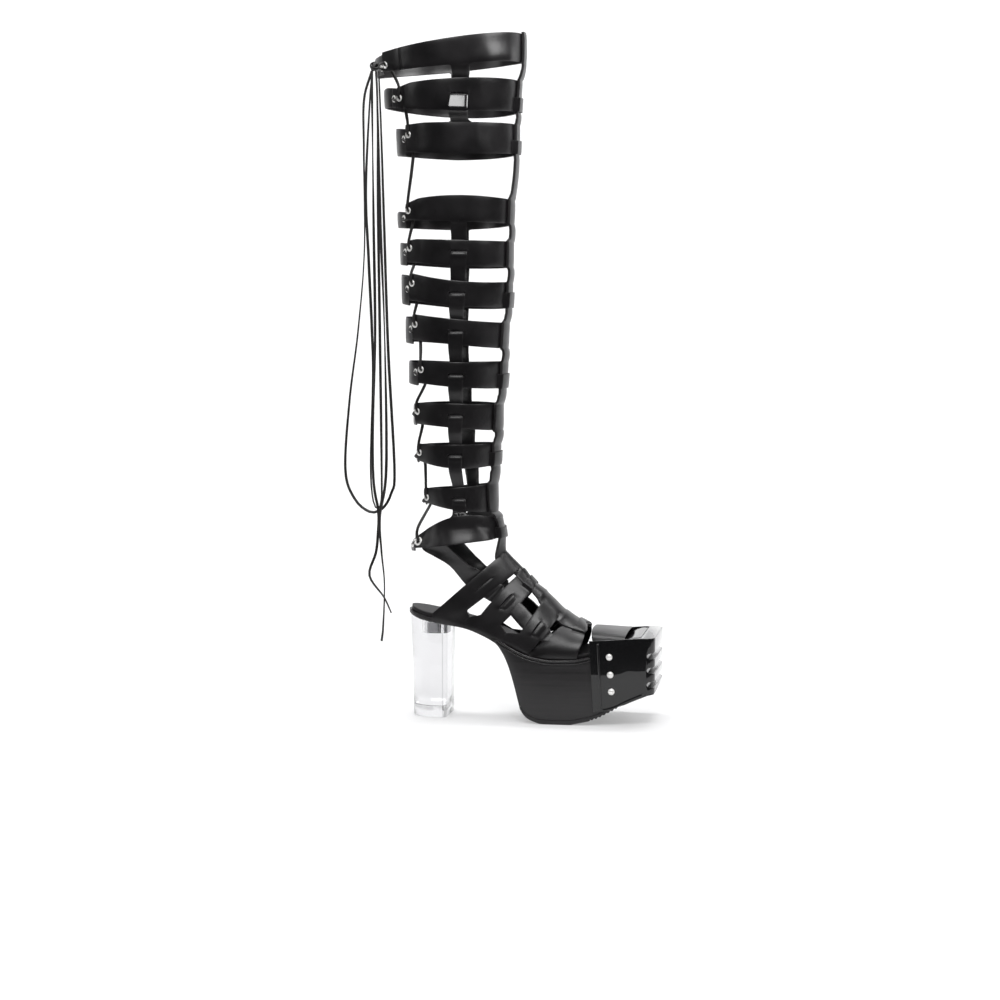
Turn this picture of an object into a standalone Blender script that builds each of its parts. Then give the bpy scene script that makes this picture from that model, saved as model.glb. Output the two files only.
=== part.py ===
"""Thigh-high open cage boot for the right foot, on a platform sole with a block heel.

Metres. +X points to the toe, +Z up, and the outer side of the foot is at -Y. The origin is the middle
of the heel's base. Tables are in millimetres, and MM turns them into metres.
"""

import math

import bmesh
import bpy
from mathutils import Matrix, Vector

MM = 0.001

# ---------------------------------------------------------------- driving dimensions, millimetres
LEATHER = 1.6  # wall of every band and strap
GAP = 0.3  # between pieces that touch on the real boot
CLEAR = 0.6  # between pieces that pass through each other, where facets cost some room
STRAP_LIFT = CLEAR + LEATHER  # outer face of a strap that lies on a band
KEEPER_LIFT = STRAP_LIFT + CLEAR + LEATHER  # outer face of a band that passes over the spine
STRAP_SINK = -LEATHER - CLEAR  # outer face of a strap that runs behind a band

EYELET_INSET = 4.0  # from a band's end to the middle of its eyelet
BAND_OPENING = 2.0  # between a band's two ends
EYELET_RADIUS = 3.5
EYELET_BORE = 2.0
EYELET_HEIGHT = 1.0
EYELET_HOLE = 2.4
EYELET_SIDES = 8
COLUMN_STEP = 15.0  # degrees, the widest facet of a band

STRAP_END_GAP = 0.9  # from the side straps' ends to the ankle band, which is its own piece
STRAP_SLIT_HALF = 3.4  # half the height of a slit that a side strap passes
STRAP_SLIT_SPARE = 1.2  # a slit is this much wider than its strap, at each end
KEEPER_SLIT_HALF = 1.5
KEEPER_SLOPE = 2.6  # width of the step where a keeper rises over the spine
KEEPER_SPARE = 2.0
SPINE_SPARE = 1.9

SEAT_BACK = -28.5
FOOTBED_THICKNESS = 4.5
OUTSOLE_THICKNESS = 5.0
OUTSOLE_BACK = 97.0
OUTSOLE_FRONT = 206.0
PLATFORM_FRONT = 222.0
GUARD_FRONT = 231.5
GUARD_BACK = 172.0
GUARD_SIDE = 44.6
TOE_CORNER = 9.0
LUG_FIRST = 170.0
LUG_PITCH = 6.0
LUG_DEPTH = 1.8
LUG_COUNT = 6

HEEL_LIFT_HEIGHT = 12.5
HEEL_POCKET_RADIUS = 9.2
HEEL_POCKET_FLOOR = 86.0
HEEL_SCREW_RADIUS = 8.6
HEEL_SCREW_X = 1.5
HEEL_SCREW_TOP = 99.5

RIVET_RADIUS = 3.5
RIVET_HEIGHT = 1.8

LACE_WIDTH = 3.0
SHAFT_MIDDLE = 21.0
CROSSING_RADIUS = 1.1
CROSSING_LIFT = 3.5

# ---------------------------------------------------------------- tables, millimetres and degrees
# The shaft is a stack of ellipses. A turn is 0 at the front, 90 on the outer side and 180 at the
# back. This is the half width of each ellipse over its half depth.
ROUNDNESS_COLUMNS = ("height", "ratio")
ROUNDNESS_ROWS = ((180, 0.84), (230, 0.90), (300, 0.92), (400, 0.94), (520, 0.95), (700, 0.97))

# Each band is a slice of a cone: the middle and half depth of its ellipse at the side's top and low
# edge, and the heights of both edges at the side, the front and the back.
BAND_COLUMNS = (
    "top_side", "top_front", "top_back", "top_middle", "top_half",
    "low_side", "low_front", "low_back", "low_middle", "low_half",
)
BAND_ROWS = (
    (698.6, 710.5, 686.7, 14.2, 78.1, 673.0, 681.0, 669.0, 15.7, 76.5),
    (660.7, 663.0, 653.5, 17.5, 70.7, 630.0, 631.0, 636.0, 17.0, 69.2),
    (618.2, 618.6, 618.3, 22.5, 63.2, 587.0, 588.0, 591.0, 23.0, 62.2),
    (544.7, 541.8, 535.9, 20.4, 60.5, 518.9, 516.8, 520.8, 20.5, 59.6),
    (500.0, 498.7, 501.5, 21.7, 58.2, 474.3, 472.3, 478.7, 21.3, 58.0),
    (459.4, 456.9, 470.6, 21.7, 57.1, 433.6, 430.4, 440.7, 21.2, 56.4),
    (419.9, 415.0, 425.9, 22.1, 53.4, 393.8, 388.2, 399.1, 21.7, 52.8),
    (374.9, 375.0, 377.8, 23.0, 51.0, 349.7, 346.7, 354.7, 22.0, 50.0),
    (332.1, 330.2, 331.7, 23.0, 46.2, 307.3, 303.0, 310.4, 22.7, 46.0),
    (289.3, 289.5, 289.2, 23.1, 43.6, 264.9, 266.8, 273.3, 22.3, 42.8),
    (244.1, 247.8, 242.8, 25.5, 38.1, 220.9, 217.3, 227.9, 26.0, 37.5),
    (214.1, 211.3, 190.2, 25.3, 42.5, 186.1, 190.7, 177.9, 27.5, 45.2),
)

# Where each band's outer eyelet is, how far its inner end hangs below the outer one, the height at
# which the band is slit to pass over the spine, and the height of the slits that its side straps pass.
FASTENING_COLUMNS = ("eyelet_turn", "eyelet_height", "sag", "keeper", "slit")
FASTENING_ROWS = (
    (136.8, 676.5, 2.0, None, None),
    (128.2, 643.0, 0.0, 645.0, 647.5),
    (130.6, 606.6, 4.0, 601.5, None),
    (131.0, 529.8, 8.0, None, None),
    (133.1, 491.7, 4.0, None, 488.5),
    (131.2, 455.7, 6.0, 445.5, 446.0),
    (131.6, 413.4, 5.0, None, 407.0),
    (126.0, 366.9, 3.0, 361.5, 362.0),
    (141.3, 322.9, 2.0, None, 320.0),
    (142.8, 279.8, 3.0, 280.5, 278.5),
    (143.7, 232.7, 3.0, None, 233.0),
    (139.1, 187.0, 3.0, 201.5, None),
)

# Turns of a side strap's front and back edges, on the outer and the inner side.
SIDE_STRAP_COLUMNS = ("height", "outer_front", "outer_back", "inner_front", "inner_back")
SIDE_STRAP_ROWS = (
    (200, 70.0, 92.0, -60.0, -84.0),
    (250, 73.0, 92.0, -66.0, -88.0),
    (300, 74.0, 92.0, -75.0, -97.0),
    (342, 72.0, 90.0, -81.0, -101.0),
    (385, 73.0, 89.0, -86.0, -104.0),
    (467, 69.0, 85.0, -86.0, -104.0),
    (545, 67.0, 83.5, -83.0, -99.0),
    (622, 67.5, 83.5, -80.0, -95.0),
    (665, 64.0, 78.5, -79.0, -93.0),
)

# The spine runs down the front of the shaft, wider towards the ankle.
SPINE_COLUMNS = ("height", "half_width")
SPINE_ROWS = ((190, 16.0), (270, 16.0), (350, 14.5), (440, 12.5), (560, 10.0), (640, 8.5), (710, 6.5))

# The arches of the foot. Each row is one edge of an arch: where it stands on the footbed's rim, its
# crest over the instep, how far it bows forwards half way up, and how far up the arch, in degrees, the
# diagonal strap and the spine cross it.
ARCH_COLUMNS = (
    "rim_x", "rim_z", "crest_x", "crest_z", "bow", "diagonal_low", "diagonal_high", "spine", "lift",
)
ARCH_ROWS = (
    (0.9, 111.0, 74.0, 173.5, 3.0, 29.0, 45.0, 63.0, 0.0),
    (24.2, 104.0, 92.0, 158.0, 0.5, 27.0, 48.0, 62.0, 0.0),
    (43.3, 99.5, 95.3, 155.5, -4.0, 27.0, 50.0, 62.0, KEEPER_LIFT),
    (64.4, 92.0, 107.0, 143.0, 4.0, 24.0, 40.0, 59.0, KEEPER_LIFT),
    (88.5, 84.0, 121.5, 133.4, 0.5, 18.0, 38.0, 57.0, 0.0),
    (106.0, 74.0, 138.5, 117.0, 1.5, 19.0, 38.0, 54.0, 0.0),
    (110.0, 73.5, 147.0, 111.0, 4.0, 21.0, 36.0, 53.0, KEEPER_LIFT),
    (156.2, 73.0, 161.0, 104.0, 3.5, 22.0, 36.0, 53.0, KEEPER_LIFT),
)

# The diagonal strap from behind the ankle band down to the first arch, as its lower and upper edges.
DIAGONAL_COLUMNS = ("low_x", "low_side", "low_z", "high_x", "high_side", "high_z")
DIAGONAL_ROWS = (
    (-6.4, 19.0, 188.0, 15.5, 33.4, 191.0),
    (-7.4, 19.0, 177.5, 18.0, 34.0, 182.5),
    (1.0, 27.0, 173.8, 30.0, 33.0, 178.0),
    (20.0, 29.5, 163.3, 43.0, 30.5, 167.5),
)

# Half widths of the upper along the foot, from the middle of the heel to the ball and the toes.
PLAN_COLUMNS = ("x", "outer", "inner")
UPPER_PLAN_ROWS = (
    (-1, 28.0, 28.0),
    (24, 27.5, 25.5),
    (43, 28.0, 24.5),
    (64, 32.0, 28.5),
    (88, 37.5, 34.0),
    (106, 41.0, 38.0),
    (130, 42.0, 40.5),
    (156, 41.5, 41.8),
    (240, 41.5, 41.8),
)
PLATFORM_PLAN_ROWS = (
    (-1, 25.9, 25.9),
    (24, 25.4, 23.4),
    (43, 25.9, 22.4),
    (66, 30.0, 26.5),
    (76, 35.0, 31.0),
    (88, 39.2, 35.8),
    (106, 42.7, 39.8),
    (130, 43.8, 42.2),
    (150, 43.4, 43.3),
    (171.5, 42.9, 43.2),
    (172, 42.0, 42.0),
    (240, 42.0, 42.0),
)

# Heights along the foot: the underside of the whole sole, and the footbed's top.
PROFILE_COLUMNS = ("x", "z")
UNDERSIDE_ROWS = (
    (-27, 105.6),
    (16, 99.6),
    (36, 95.9),
    (52, 90.0),
    (64, 84.5),
    (70, 80.0),
    (76, 71.8),
    (82, 59.5),
    (88, 41.0),
    (92, 26.0),
    (96, 13.0),
    (100, 7.3),
    (106, 3.6),
    (112, 1.4),
    (118, 0.0),
    (148, 0.0),
    (156, 1.6),
    (174, 6.0),
    (190, 12.7),
    (206, 21.4),
    (232, 32.2),
)
FOOTBED_ROWS = (
    (-29, 114.5),
    (0, 110.8),
    (24, 106.5),
    (43, 102.0),
    (66, 93.0),
    (80, 86.0),
    (95, 79.0),
    (110, 74.2),
    (130, 71.6),
    (150, 72.2),
    (167, 75.6),
    (190, 82.5),
    (210, 88.5),
    (232, 90.8),
)

# The clear heel, from its base to the seat: back, breast and half width.
HEEL_COLUMNS = ("height", "back", "breast", "half_width", "front_corner")
HEEL_ROWS = (
    (0, -24.0, 12.5, 23.5, 4.0),
    (40, -24.4, 12.8, 24.0, 4.0),
    (80, -26.0, 13.4, 25.5, 4.5),
    (105, -27.2, 14.0, 26.4, 5.0),
)

# Rivets of the toe guard, each on both sides.
RIVET_COLUMNS = ("x", "z")
RIVET_ROWS = ((190.1, 72.9), (191.3, 54.5), (192.5, 37.0))

# Grooves across the guard's front: the height of each ledge and of the groove's roof.
GROOVE_COLUMNS = ("ledge", "roof")
GROOVE_ROWS = ((72.3, 77.2), (57.5, 62.4), (42.7, 47.6))
GROOVE_DEPTH = 6.5

# The toe strap's rear and front edges.
TOE_STRAP_COLUMNS = ("rim_x", "crest_x", "crest_z")
TOE_STRAP_ROWS = ((171.0, 163.5, 102.0), (188.0, 184.0, 100.8), (204.5, 205.0, 99.2))
TOE_STRAP_HALF = 39.6
TOE_STRAP_SQUARENESS = 0.72

# The lace's hanging loops and ends, each a route from the knot.
KNOT_CENTRE = (-50.0, -61.0, 674.5)
KNOT_RADII = (6.0, 7.0, 5.0)
LOOP_1_ROUTE = (
    (-53.8, -57.8, 670.0), (-62.0, -58.0, 641.0), (-62.0, -60.0, 590.0), (-62.0, -60.0, 490.0),
    (-69.0, -60.0, 408.0), (-78.5, -60.0, 336.0), (-83.5, -60.0, 264.0), (-74.0, -60.0, 234.0),
    (-58.0, -60.0, 220.5), (-44.5, -60.0, 224.0), (-35.0, -60.0, 240.0), (-31.5, -60.0, 266.0),
    (-37.5, -60.0, 387.0), (-41.0, -60.0, 508.0), (-43.5, -60.0, 600.0), (-46.4, -58.1, 669.8),
)
LOOP_2_ROUTE = (
    (-52.2, -61.6, 669.2), (-54.5, -64.0, 640.0), (-59.0, -64.5, 550.0), (-56.5, -64.5, 480.0),
    (-53.5, -64.5, 408.0), (-52.5, -64.5, 357.0), (-55.5, -64.5, 268.0), (-53.0, -64.5, 232.0),
    (-48.0, -64.5, 224.5), (-44.5, -64.5, 233.0), (-44.0, -64.5, 266.0), (-45.0, -64.5, 388.0),
    (-46.5, -64.5, 540.0), (-46.5, -64.0, 640.0), (-48.0, -61.6, 669.2),
)
END_1_ROUTE = (
    (-51.9, -65.3, 669.8), (-51.0, -69.0, 640.0), (-50.0, -69.5, 520.0), (-49.0, -69.5, 400.0),
    (-52.0, -69.5, 267.0), (-46.5, -69.5, 222.0), (-47.0, -69.5, 200.0), (-49.5, -69.0, 179.0),
    (-56.5, -68.5, 155.0), (-41.5, -68.0, 133.0), (-33.7, -68.0, 116.5),
)
END_2_ROUTE = (
    (-48.1, -65.5, 669.8), (-45.0, -72.0, 640.0), (-42.0, -74.0, 520.0), (-38.0, -74.0, 400.0),
    (-37.0, -74.0, 267.0), (-44.0, -74.0, 217.0), (-42.5, -74.0, 182.0), (-39.5, -74.0, 148.0),
    (-41.0, -74.0, 104.0), (-42.8, -74.0, 88.0),
)
LACE_STEP = 65.0  # the longest straight run of a cord

COLLECTION = "thigh_high_cage_boot"


# ---------------------------------------------------------------- reading the tables
def at_row(rows, columns, where, wanted):
    """The value of one column, read off between two rows of a table whose first column rises."""
    column = columns.index(wanted)
    if where <= rows[0][0]:
        return rows[0][column]
    for low, high in zip(rows, rows[1:]):
        if where <= high[0]:
            part = (where - low[0]) / (high[0] - low[0])
            return low[column] + part * (high[column] - low[column])
    return rows[-1][column]


def band_value(number, wanted):
    """A value of band 1, at the top, to 12, at the ankle."""
    if wanted in FASTENING_COLUMNS:
        return FASTENING_ROWS[number - 1][FASTENING_COLUMNS.index(wanted)]
    return BAND_ROWS[number - 1][BAND_COLUMNS.index(wanted)]


def underside(x):
    return at_row(UNDERSIDE_ROWS, PROFILE_COLUMNS, x, "z")


def footbed(x):
    return at_row(FOOTBED_ROWS, PROFILE_COLUMNS, x, "z")


def platform_top(x):
    return footbed(x) - FOOTBED_THICKNESS - GAP


# ---------------------------------------------------------------- objects, materials and solids
def clear_scene():
    for old in list(bpy.data.objects):
        bpy.data.objects.remove(old)


def make_collection(name):
    collection = bpy.data.collections.new(name)
    bpy.context.scene.collection.children.link(collection)
    return collection


def make_material(name, colour, roughness, metallic=0.0, transmission=0.0):
    material = bpy.data.materials.new(name)
    material.use_nodes = True
    shader = material.node_tree.nodes["Principled BSDF"]
    shader.inputs["Base Color"].default_value = (*colour, 1.0)
    shader.inputs["Roughness"].default_value = roughness
    shader.inputs["Metallic"].default_value = metallic
    shader.inputs["Transmission Weight"].default_value = transmission
    return material


def link(name, mesh, material, collection):
    node = bpy.data.objects.new(name, mesh)
    mesh.materials.clear()
    mesh.materials.append(material)
    collection.objects.link(node)
    return node


def make_cutter(name, mesh):
    cutter = bpy.data.objects.new(name, mesh)
    cutters.objects.link(cutter)
    cutter.hide_render = True
    cutter.display_type = "WIRE"
    return cutter


def cut(node, cutter, operation="DIFFERENCE"):
    modifier = node.modifiers.new(cutter.name, "BOOLEAN")
    modifier.operation = operation
    modifier.solver = "EXACT"
    modifier.object = cutter


def mesh_of_curve(curve):
    """The closed mesh of a filled or bevelled curve, with its caps welded on."""
    helper = bpy.data.objects.new(curve.name, curve)
    bpy.context.scene.collection.objects.link(helper)
    graph = bpy.context.evaluated_depsgraph_get()
    mesh = bpy.data.meshes.new_from_object(helper.evaluated_get(graph))
    bpy.data.objects.remove(helper)
    work = bmesh.new()
    work.from_mesh(mesh)
    bmesh.ops.remove_doubles(work, verts=work.verts, dist=0.00001)
    bmesh.ops.recalc_face_normals(work, faces=work.faces)
    work.to_mesh(mesh)
    work.free()
    return mesh


def flat_outline(name, outline, half_thickness):
    curve = bpy.data.curves.new(name, "CURVE")
    curve.dimensions = "2D"
    curve.fill_mode = "BOTH"
    curve.extrude = half_thickness * MM
    spline = curve.splines.new("POLY")
    spline.points.add(len(outline) - 1)
    for point, (across, up) in zip(spline.points, outline):
        point.co = (across * MM, up * MM, 0.0, 1.0)
    spline.use_cyclic_u = True
    return mesh_of_curve(curve)


def plan_prism(name, outline):
    """A tall prism on an outline in X and Y."""
    mesh = flat_outline(name, outline, 80)
    mesh.transform(Matrix.Translation((0, 0, 60 * MM)))
    return mesh


def side_prism(name, outline):
    """A wide prism on an outline in X and Z."""
    mesh = flat_outline(name, outline, 70)
    mesh.transform(Matrix.Rotation(math.radians(90), 4, "X"))
    return mesh


def thicken(node, thickness=LEATHER):
    modifier = node.modifiers.new("wall", "SOLIDIFY")
    modifier.thickness = thickness * MM
    modifier.offset = -1.0
    modifier.use_even_offset = True


def sheet(name, points, faces, material, thickness=LEATHER):
    """A leather wall: an open sheet of faces, seen from outside, thickened inwards."""
    mesh = bpy.data.meshes.new(name)
    mesh.from_pydata([Vector(point) * MM for point in points], [], faces)
    node = link(name, mesh, material, parts)
    thicken(node, thickness)
    return node


# ---------------------------------------------------------------- the shaft
def band_size(number, height, wanted):
    """The middle or half depth of a band's cone, carried on past its edges."""
    low, top = band_value(number, "low_side"), band_value(number, "top_side")
    part = (height - low) / (top - low)
    start = band_value(number, "low_" + wanted)
    return start + part * (band_value(number, "top_" + wanted) - start)


def ring_point(middle, half_depth, turn, height, lift):
    half_width = half_depth * at_row(ROUNDNESS_ROWS, ROUNDNESS_COLUMNS, height, "ratio")
    angle = math.radians(turn)
    x = middle + (half_depth + lift) * math.cos(angle)
    return Vector((x, -(half_width + lift) * math.sin(angle), height))


def band_point(number, turn, height, lift=0.0):
    """A point on a band, lifted off it by some millimetres."""
    middle = band_size(number, height, "middle")
    return ring_point(middle, band_size(number, height, "half"), turn, height, lift)


def degrees_for(width, number, height):
    """How many degrees some millimetres around a band cover."""
    return math.degrees(width / band_size(number, height, "half"))


def edge_height(number, edge, turn):
    """The height of a band's top or low edge at a turn."""
    side = band_value(number, edge + "_side")
    front = band_value(number, edge + "_front")
    back = band_value(number, edge + "_back")
    lean = math.cos(math.radians(turn))
    level = side + (front - back) / 2 * lean + ((front + back) / 2 - side) * lean * lean
    return level - band_value(number, "sag") * min(1.0, max(0.0, -turn / 100))


def band_ends(number):
    """The turns of a band's outer and inner end."""
    height = band_value(number, "eyelet_height")
    outer = band_value(number, "eyelet_turn") + degrees_for(EYELET_INSET, number, height)
    return outer, outer + degrees_for(BAND_OPENING, number, height) - 360


def spine_turn(number, height, spare=0.0):
    half_width = at_row(SPINE_ROWS, SPINE_COLUMNS, height, "half_width") + spare
    return degrees_for(half_width, number, height)


def strap_turns(side, height):
    front = at_row(SIDE_STRAP_ROWS, SIDE_STRAP_COLUMNS, height, side + "_front")
    back = at_row(SIDE_STRAP_ROWS, SIDE_STRAP_COLUMNS, height, side + "_back")
    return (back, (front + back) / 2, front) if side == "outer" else (front, (front + back) / 2, back)


def filled(turns):
    """The turns with more between them, wherever they are too far apart."""
    full = [turns[0]]
    for turn in turns[1:]:
        steps = math.ceil(abs(full[-1] - turn) / COLUMN_STEP)
        start = full[-1]
        full += [start + (turn - start) * step / steps for step in range(1, steps)]
        full.append(turn)
    return full


class Ring:
    """One band as columns from its outer end, round the front, to its inner end."""

    def __init__(self, number):
        self.number = number
        self.levels = {}
        self.gaps = set()
        outer, inner = band_ends(number)
        height = band_value(number, "eyelet_height")
        facet = degrees_for(2 * EYELET_INSET, number, height)
        marks = [outer, outer - facet, inner + facet, inner]
        for side in ("outer", "inner"):
            marks += self.strap_marks(side)
        marks += self.keeper_marks()
        self.turns = filled(sorted(set(marks), reverse=True))

    def middle(self):
        return (band_value(self.number, "top_side") + band_value(self.number, "low_side")) / 2

    def strap_marks(self, side):
        slit = band_value(self.number, "slit")
        height = slit or self.middle()
        turns = strap_turns(side, height)
        if slit is None:
            return list(turns)
        spare = degrees_for(STRAP_SLIT_SPARE, self.number, height)
        marks = [turns[0] + spare, turns[1], turns[2] - spare]
        for mark in marks:
            self.levels[mark] = [(slit - STRAP_SLIT_HALF, 0.0), (slit + STRAP_SLIT_HALF, 0.0)]
        self.gaps |= {marks[0], marks[1]}
        return marks

    def keeper_marks(self):
        keeper = band_value(self.number, "keeper")
        height = keeper or self.middle()
        half = spine_turn(self.number, height)
        if keeper is None:
            return [half, half / 2, 0.0, -half / 2, -half]
        raised = spine_turn(self.number, height, KEEPER_SPARE)
        foot = spine_turn(self.number, height, KEEPER_SPARE + KEEPER_SLOPE)
        low, high = keeper - KEEPER_SLIT_HALF, keeper + KEEPER_SLIT_HALF
        marks = [foot, raised, half, half / 2, 0.0, -half / 2, -half, -raised, -foot]
        for mark in marks:
            lift = 0.0 if abs(mark) == foot else KEEPER_LIFT
            self.levels[mark] = [(low, lift), (high, 0.0)]
        self.gaps |= set(marks[:-1])
        return marks

    def column(self, turn):
        """The points of one column from the low edge to the top edge."""
        inside = self.levels.get(turn, [])
        low_lift = inside[0][1] if inside else 0.0
        heights = [(edge_height(self.number, "low", turn), low_lift), *inside]
        heights.append((edge_height(self.number, "top", turn), 0.0))
        return [band_point(self.number, turn, height, lift) for height, lift in heights]

    def add_to(self, points, faces):
        """Adds the band's faces, and keeps the number of each low and top point by its turn."""
        self.low, self.top = {}, {}
        columns = []
        for turn in self.turns:
            start = len(points)
            points += self.column(turn)
            columns.append(list(range(start, len(points))))
            self.low[turn] = columns[-1][0]
            self.top[turn] = columns[-1][-1]
        for turn, here, there in zip(self.turns, columns, columns[1:]):
            if turn in self.gaps:
                faces.append((here[0], there[0], there[1], here[1]))
                faces.append((here[2], there[2], there[3], here[3]))
            else:
                faces.append((*reversed(here), *there))


def eyelet_frame(number, side):
    """Where an eyelet sits: in the middle of the flat facet at its band's end, facing out."""
    height = band_value(number, "eyelet_height")
    outer, inner = band_ends(number)
    facet = degrees_for(2 * EYELET_INSET, number, height)
    turns = (outer, outer - facet) if side == "outer" else (inner + facet, inner)
    if side == "inner":
        height -= band_value(number, "sag")
    low = [band_point(number, turn, edge_height(number, "low", turn)) for turn in turns]
    top = [band_point(number, turn, edge_height(number, "top", turn)) for turn in turns]
    low_middle, top_middle = (low[0] + low[1]) / 2, (top[0] + top[1]) / 2
    part = (height - low_middle.z) / (top_middle.z - low_middle.z)
    across = low[1] - low[0] + top[1] - top[0]
    normal = across.cross(top_middle - low_middle).normalized()
    return low_middle.lerp(top_middle, part), normal


def place(middle, normal, lift):
    turn = normal.to_track_quat("Z", "Y").to_matrix().to_4x4()
    return Matrix.Translation((middle + normal * lift) * MM) @ turn


def cut_eyelet_holes(node, number):
    for side in ("outer", "inner"):
        middle, normal = eyelet_frame(number, side)
        work = bmesh.new()
        bmesh.ops.create_cone(
            work, cap_ends=True, segments=EYELET_SIDES, radius1=EYELET_HOLE * MM,
            radius2=EYELET_HOLE * MM, depth=10 * MM, matrix=place(middle, normal, 0.0),
        )
        mesh = bpy.data.meshes.new("hole")
        work.to_mesh(mesh)
        work.free()
        cut(node, make_cutter(f"hole_{number:02d}_{side}", mesh))


def make_band(number):
    points, faces = [], []
    Ring(number).add_to(points, faces)
    node = sheet(f"band_{number:02d}", points, faces, leather)
    cut_eyelet_holes(node, number)


def strap_rows(upper, lower, side):
    """Rows of points down a side strap that weaves through the bands between two others."""
    rows = []
    for number in range(upper + 1, lower):
        slit = band_value(number, "slit")
        turn = strap_turns(side, slit)[1]
        top, low = edge_height(number, "top", turn), edge_height(number, "low", turn)
        bend = STRAP_SLIT_HALF - 0.2
        stations = (
            (top, STRAP_SINK), (slit + bend, STRAP_SINK), (slit - bend, STRAP_LIFT), (low, STRAP_LIFT),
        )
        for height, lift in stations:
            turns = strap_turns(side, height)
            rows.append([band_point(number, turn, height, lift) for turn in turns])
    return rows


def make_cage(name, upper, lower, joined=True):
    """A band and its side straps down to a lower band, which is cut from the same piece if joined."""
    points, faces = [], []
    first, last = Ring(upper), Ring(lower)
    first.add_to(points, faces)
    if joined:
        last.add_to(points, faces)
    for side in ("outer", "inner"):
        above = [first.low[turn] for turn in strap_turns(side, first.middle())]
        for row in strap_rows(upper, lower, side):
            here = list(range(len(points), len(points) + 3))
            points += row
            faces += strap_faces(above, here)
            above = here
        turns = strap_turns(side, last.middle())
        if joined:
            ends = [last.top[turn] for turn in turns]
        else:
            ends = list(range(len(points), len(points) + 3))
            heights = [edge_height(lower, "top", turn) + STRAP_END_GAP for turn in turns]
            points += [band_point(lower, turn, height) for turn, height in zip(turns, heights)]
        faces += strap_faces(above, ends)
    sheet(name, points, faces, leather)
    cut_eyelet_holes(parts.objects[name], upper)
    if joined:
        cut_eyelet_holes(parts.objects[name], lower)


def two_triangles(above_left, below_left, below_right, above_right):
    """A four-sided patch split the same way everywhere, so that stacked straps stay parallel."""
    return [(above_left, below_left, below_right), (above_left, below_right, above_right)]


def strap_faces(above, below):
    """Faces between one row of a strap and the next one down, columns running to the inner side."""
    faces = []
    for k in range(len(above) - 1):
        faces += two_triangles(above[k], below[k], below[k + 1], above[k + 1])
    return faces


# ---------------------------------------------------------------- the foot
def arch_value(row, wanted):
    return ARCH_ROWS[row][ARCH_COLUMNS.index(wanted)]


def arch_point(row, rise, side, lift=0.0):
    """A point on an arch's edge. rise is 0 degrees at the rim and 90 at the crest."""
    rim_x, rim_z = arch_value(row, "rim_x"), arch_value(row, "rim_z")
    reach = Vector((arch_value(row, "crest_x") - rim_x, 0, arch_value(row, "crest_z") - rim_z))
    half = at_row(UPPER_PLAN_ROWS, PLAN_COLUMNS, rim_x, side) + lift
    angle = math.radians(rise)
    point = Vector((rim_x, 0, rim_z)) + reach.normalized() * (reach.length + lift) * math.sin(angle)
    point.x += arch_value(row, "bow") * math.sin(2 * angle)
    point.y = half * math.cos(angle) * (-1 if side == "outer" else 1)
    return point


def arch_foot(row, side):
    """The point below the rim where an arch's edge meets the sole."""
    point = arch_point(row, 0.0, side)
    on_platform = point.x > at_row(PLATFORM_PLAN_ROWS, PLAN_COLUMNS, 88, "x")
    point.z = platform_top(point.x) + CLEAR if on_platform else underside(point.x) + 1
    return point


def arch_columns(row):
    """(rise, side, lift) across one edge, from the outer rim over the crest to the inner rim."""
    lift = arch_value(row, "lift")
    spine = arch_value(row, "spine")
    rises = (
        (0.0, 0.0),
        (arch_value(row, "diagonal_low"), 0.0),
        (arch_value(row, "diagonal_high"), 0.0),
        (spine - 7.0, 0.0),
        (spine - 2.5, lift),
        (spine, lift),
        ((spine + 90) / 2, lift),
    )
    outer = [(rise, "outer", up) for rise, up in rises]
    inner = [(rise, "inner", up) for rise, up in reversed(rises)]
    return [*outer, (90.0, "outer", lift), *inner]


def make_foot_cage():
    """Four arches over the foot and the diagonal straps that cross them, joined in one piece."""
    points, faces, grid = [], [], []
    for row in range(len(ARCH_ROWS)):
        start = len(points)
        points.append(arch_foot(row, "outer"))
        points += [arch_point(row, *column) for column in arch_columns(row)]
        points.append(arch_foot(row, "inner"))
        grid.append(list(range(start, len(points))))
    last = len(grid[0]) - 2
    diagonals = (2, last - 2)
    for row, (behind, before) in enumerate(zip(grid, grid[1:])):
        whole_arch = row % 2 == 0
        for column in range(last + 1):
            if whole_arch or column in diagonals:
                faces += two_triangles(
                    behind[column], before[column], before[column + 1], behind[column + 1]
                )
    for side, column in (("outer", 2), ("inner", last - 2)):
        add_diagonal(points, faces, side, (grid[0][column], grid[0][column + 1]))
    sheet("foot_cage", points, faces, leather)


def add_diagonal(points, faces, side, landing):
    """The diagonal strap above the first arch, on one side, down to the two points it lands on."""
    sign = -1 if side == "outer" else 1
    above = None
    for low_x, low_side, low_z, high_x, high_side, high_z in DIAGONAL_ROWS:
        low = len(points)
        points.append(Vector((low_x, sign * low_side, low_z)))
        points.append(Vector((high_x, sign * high_side, high_z)))
        here = (low, low + 1) if side == "outer" else (low + 1, low)
        if above:
            faces.append((above[0], here[0], here[1], above[1]))
        above = here
    faces.append((above[0], landing[0], landing[1], above[1]))


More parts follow.
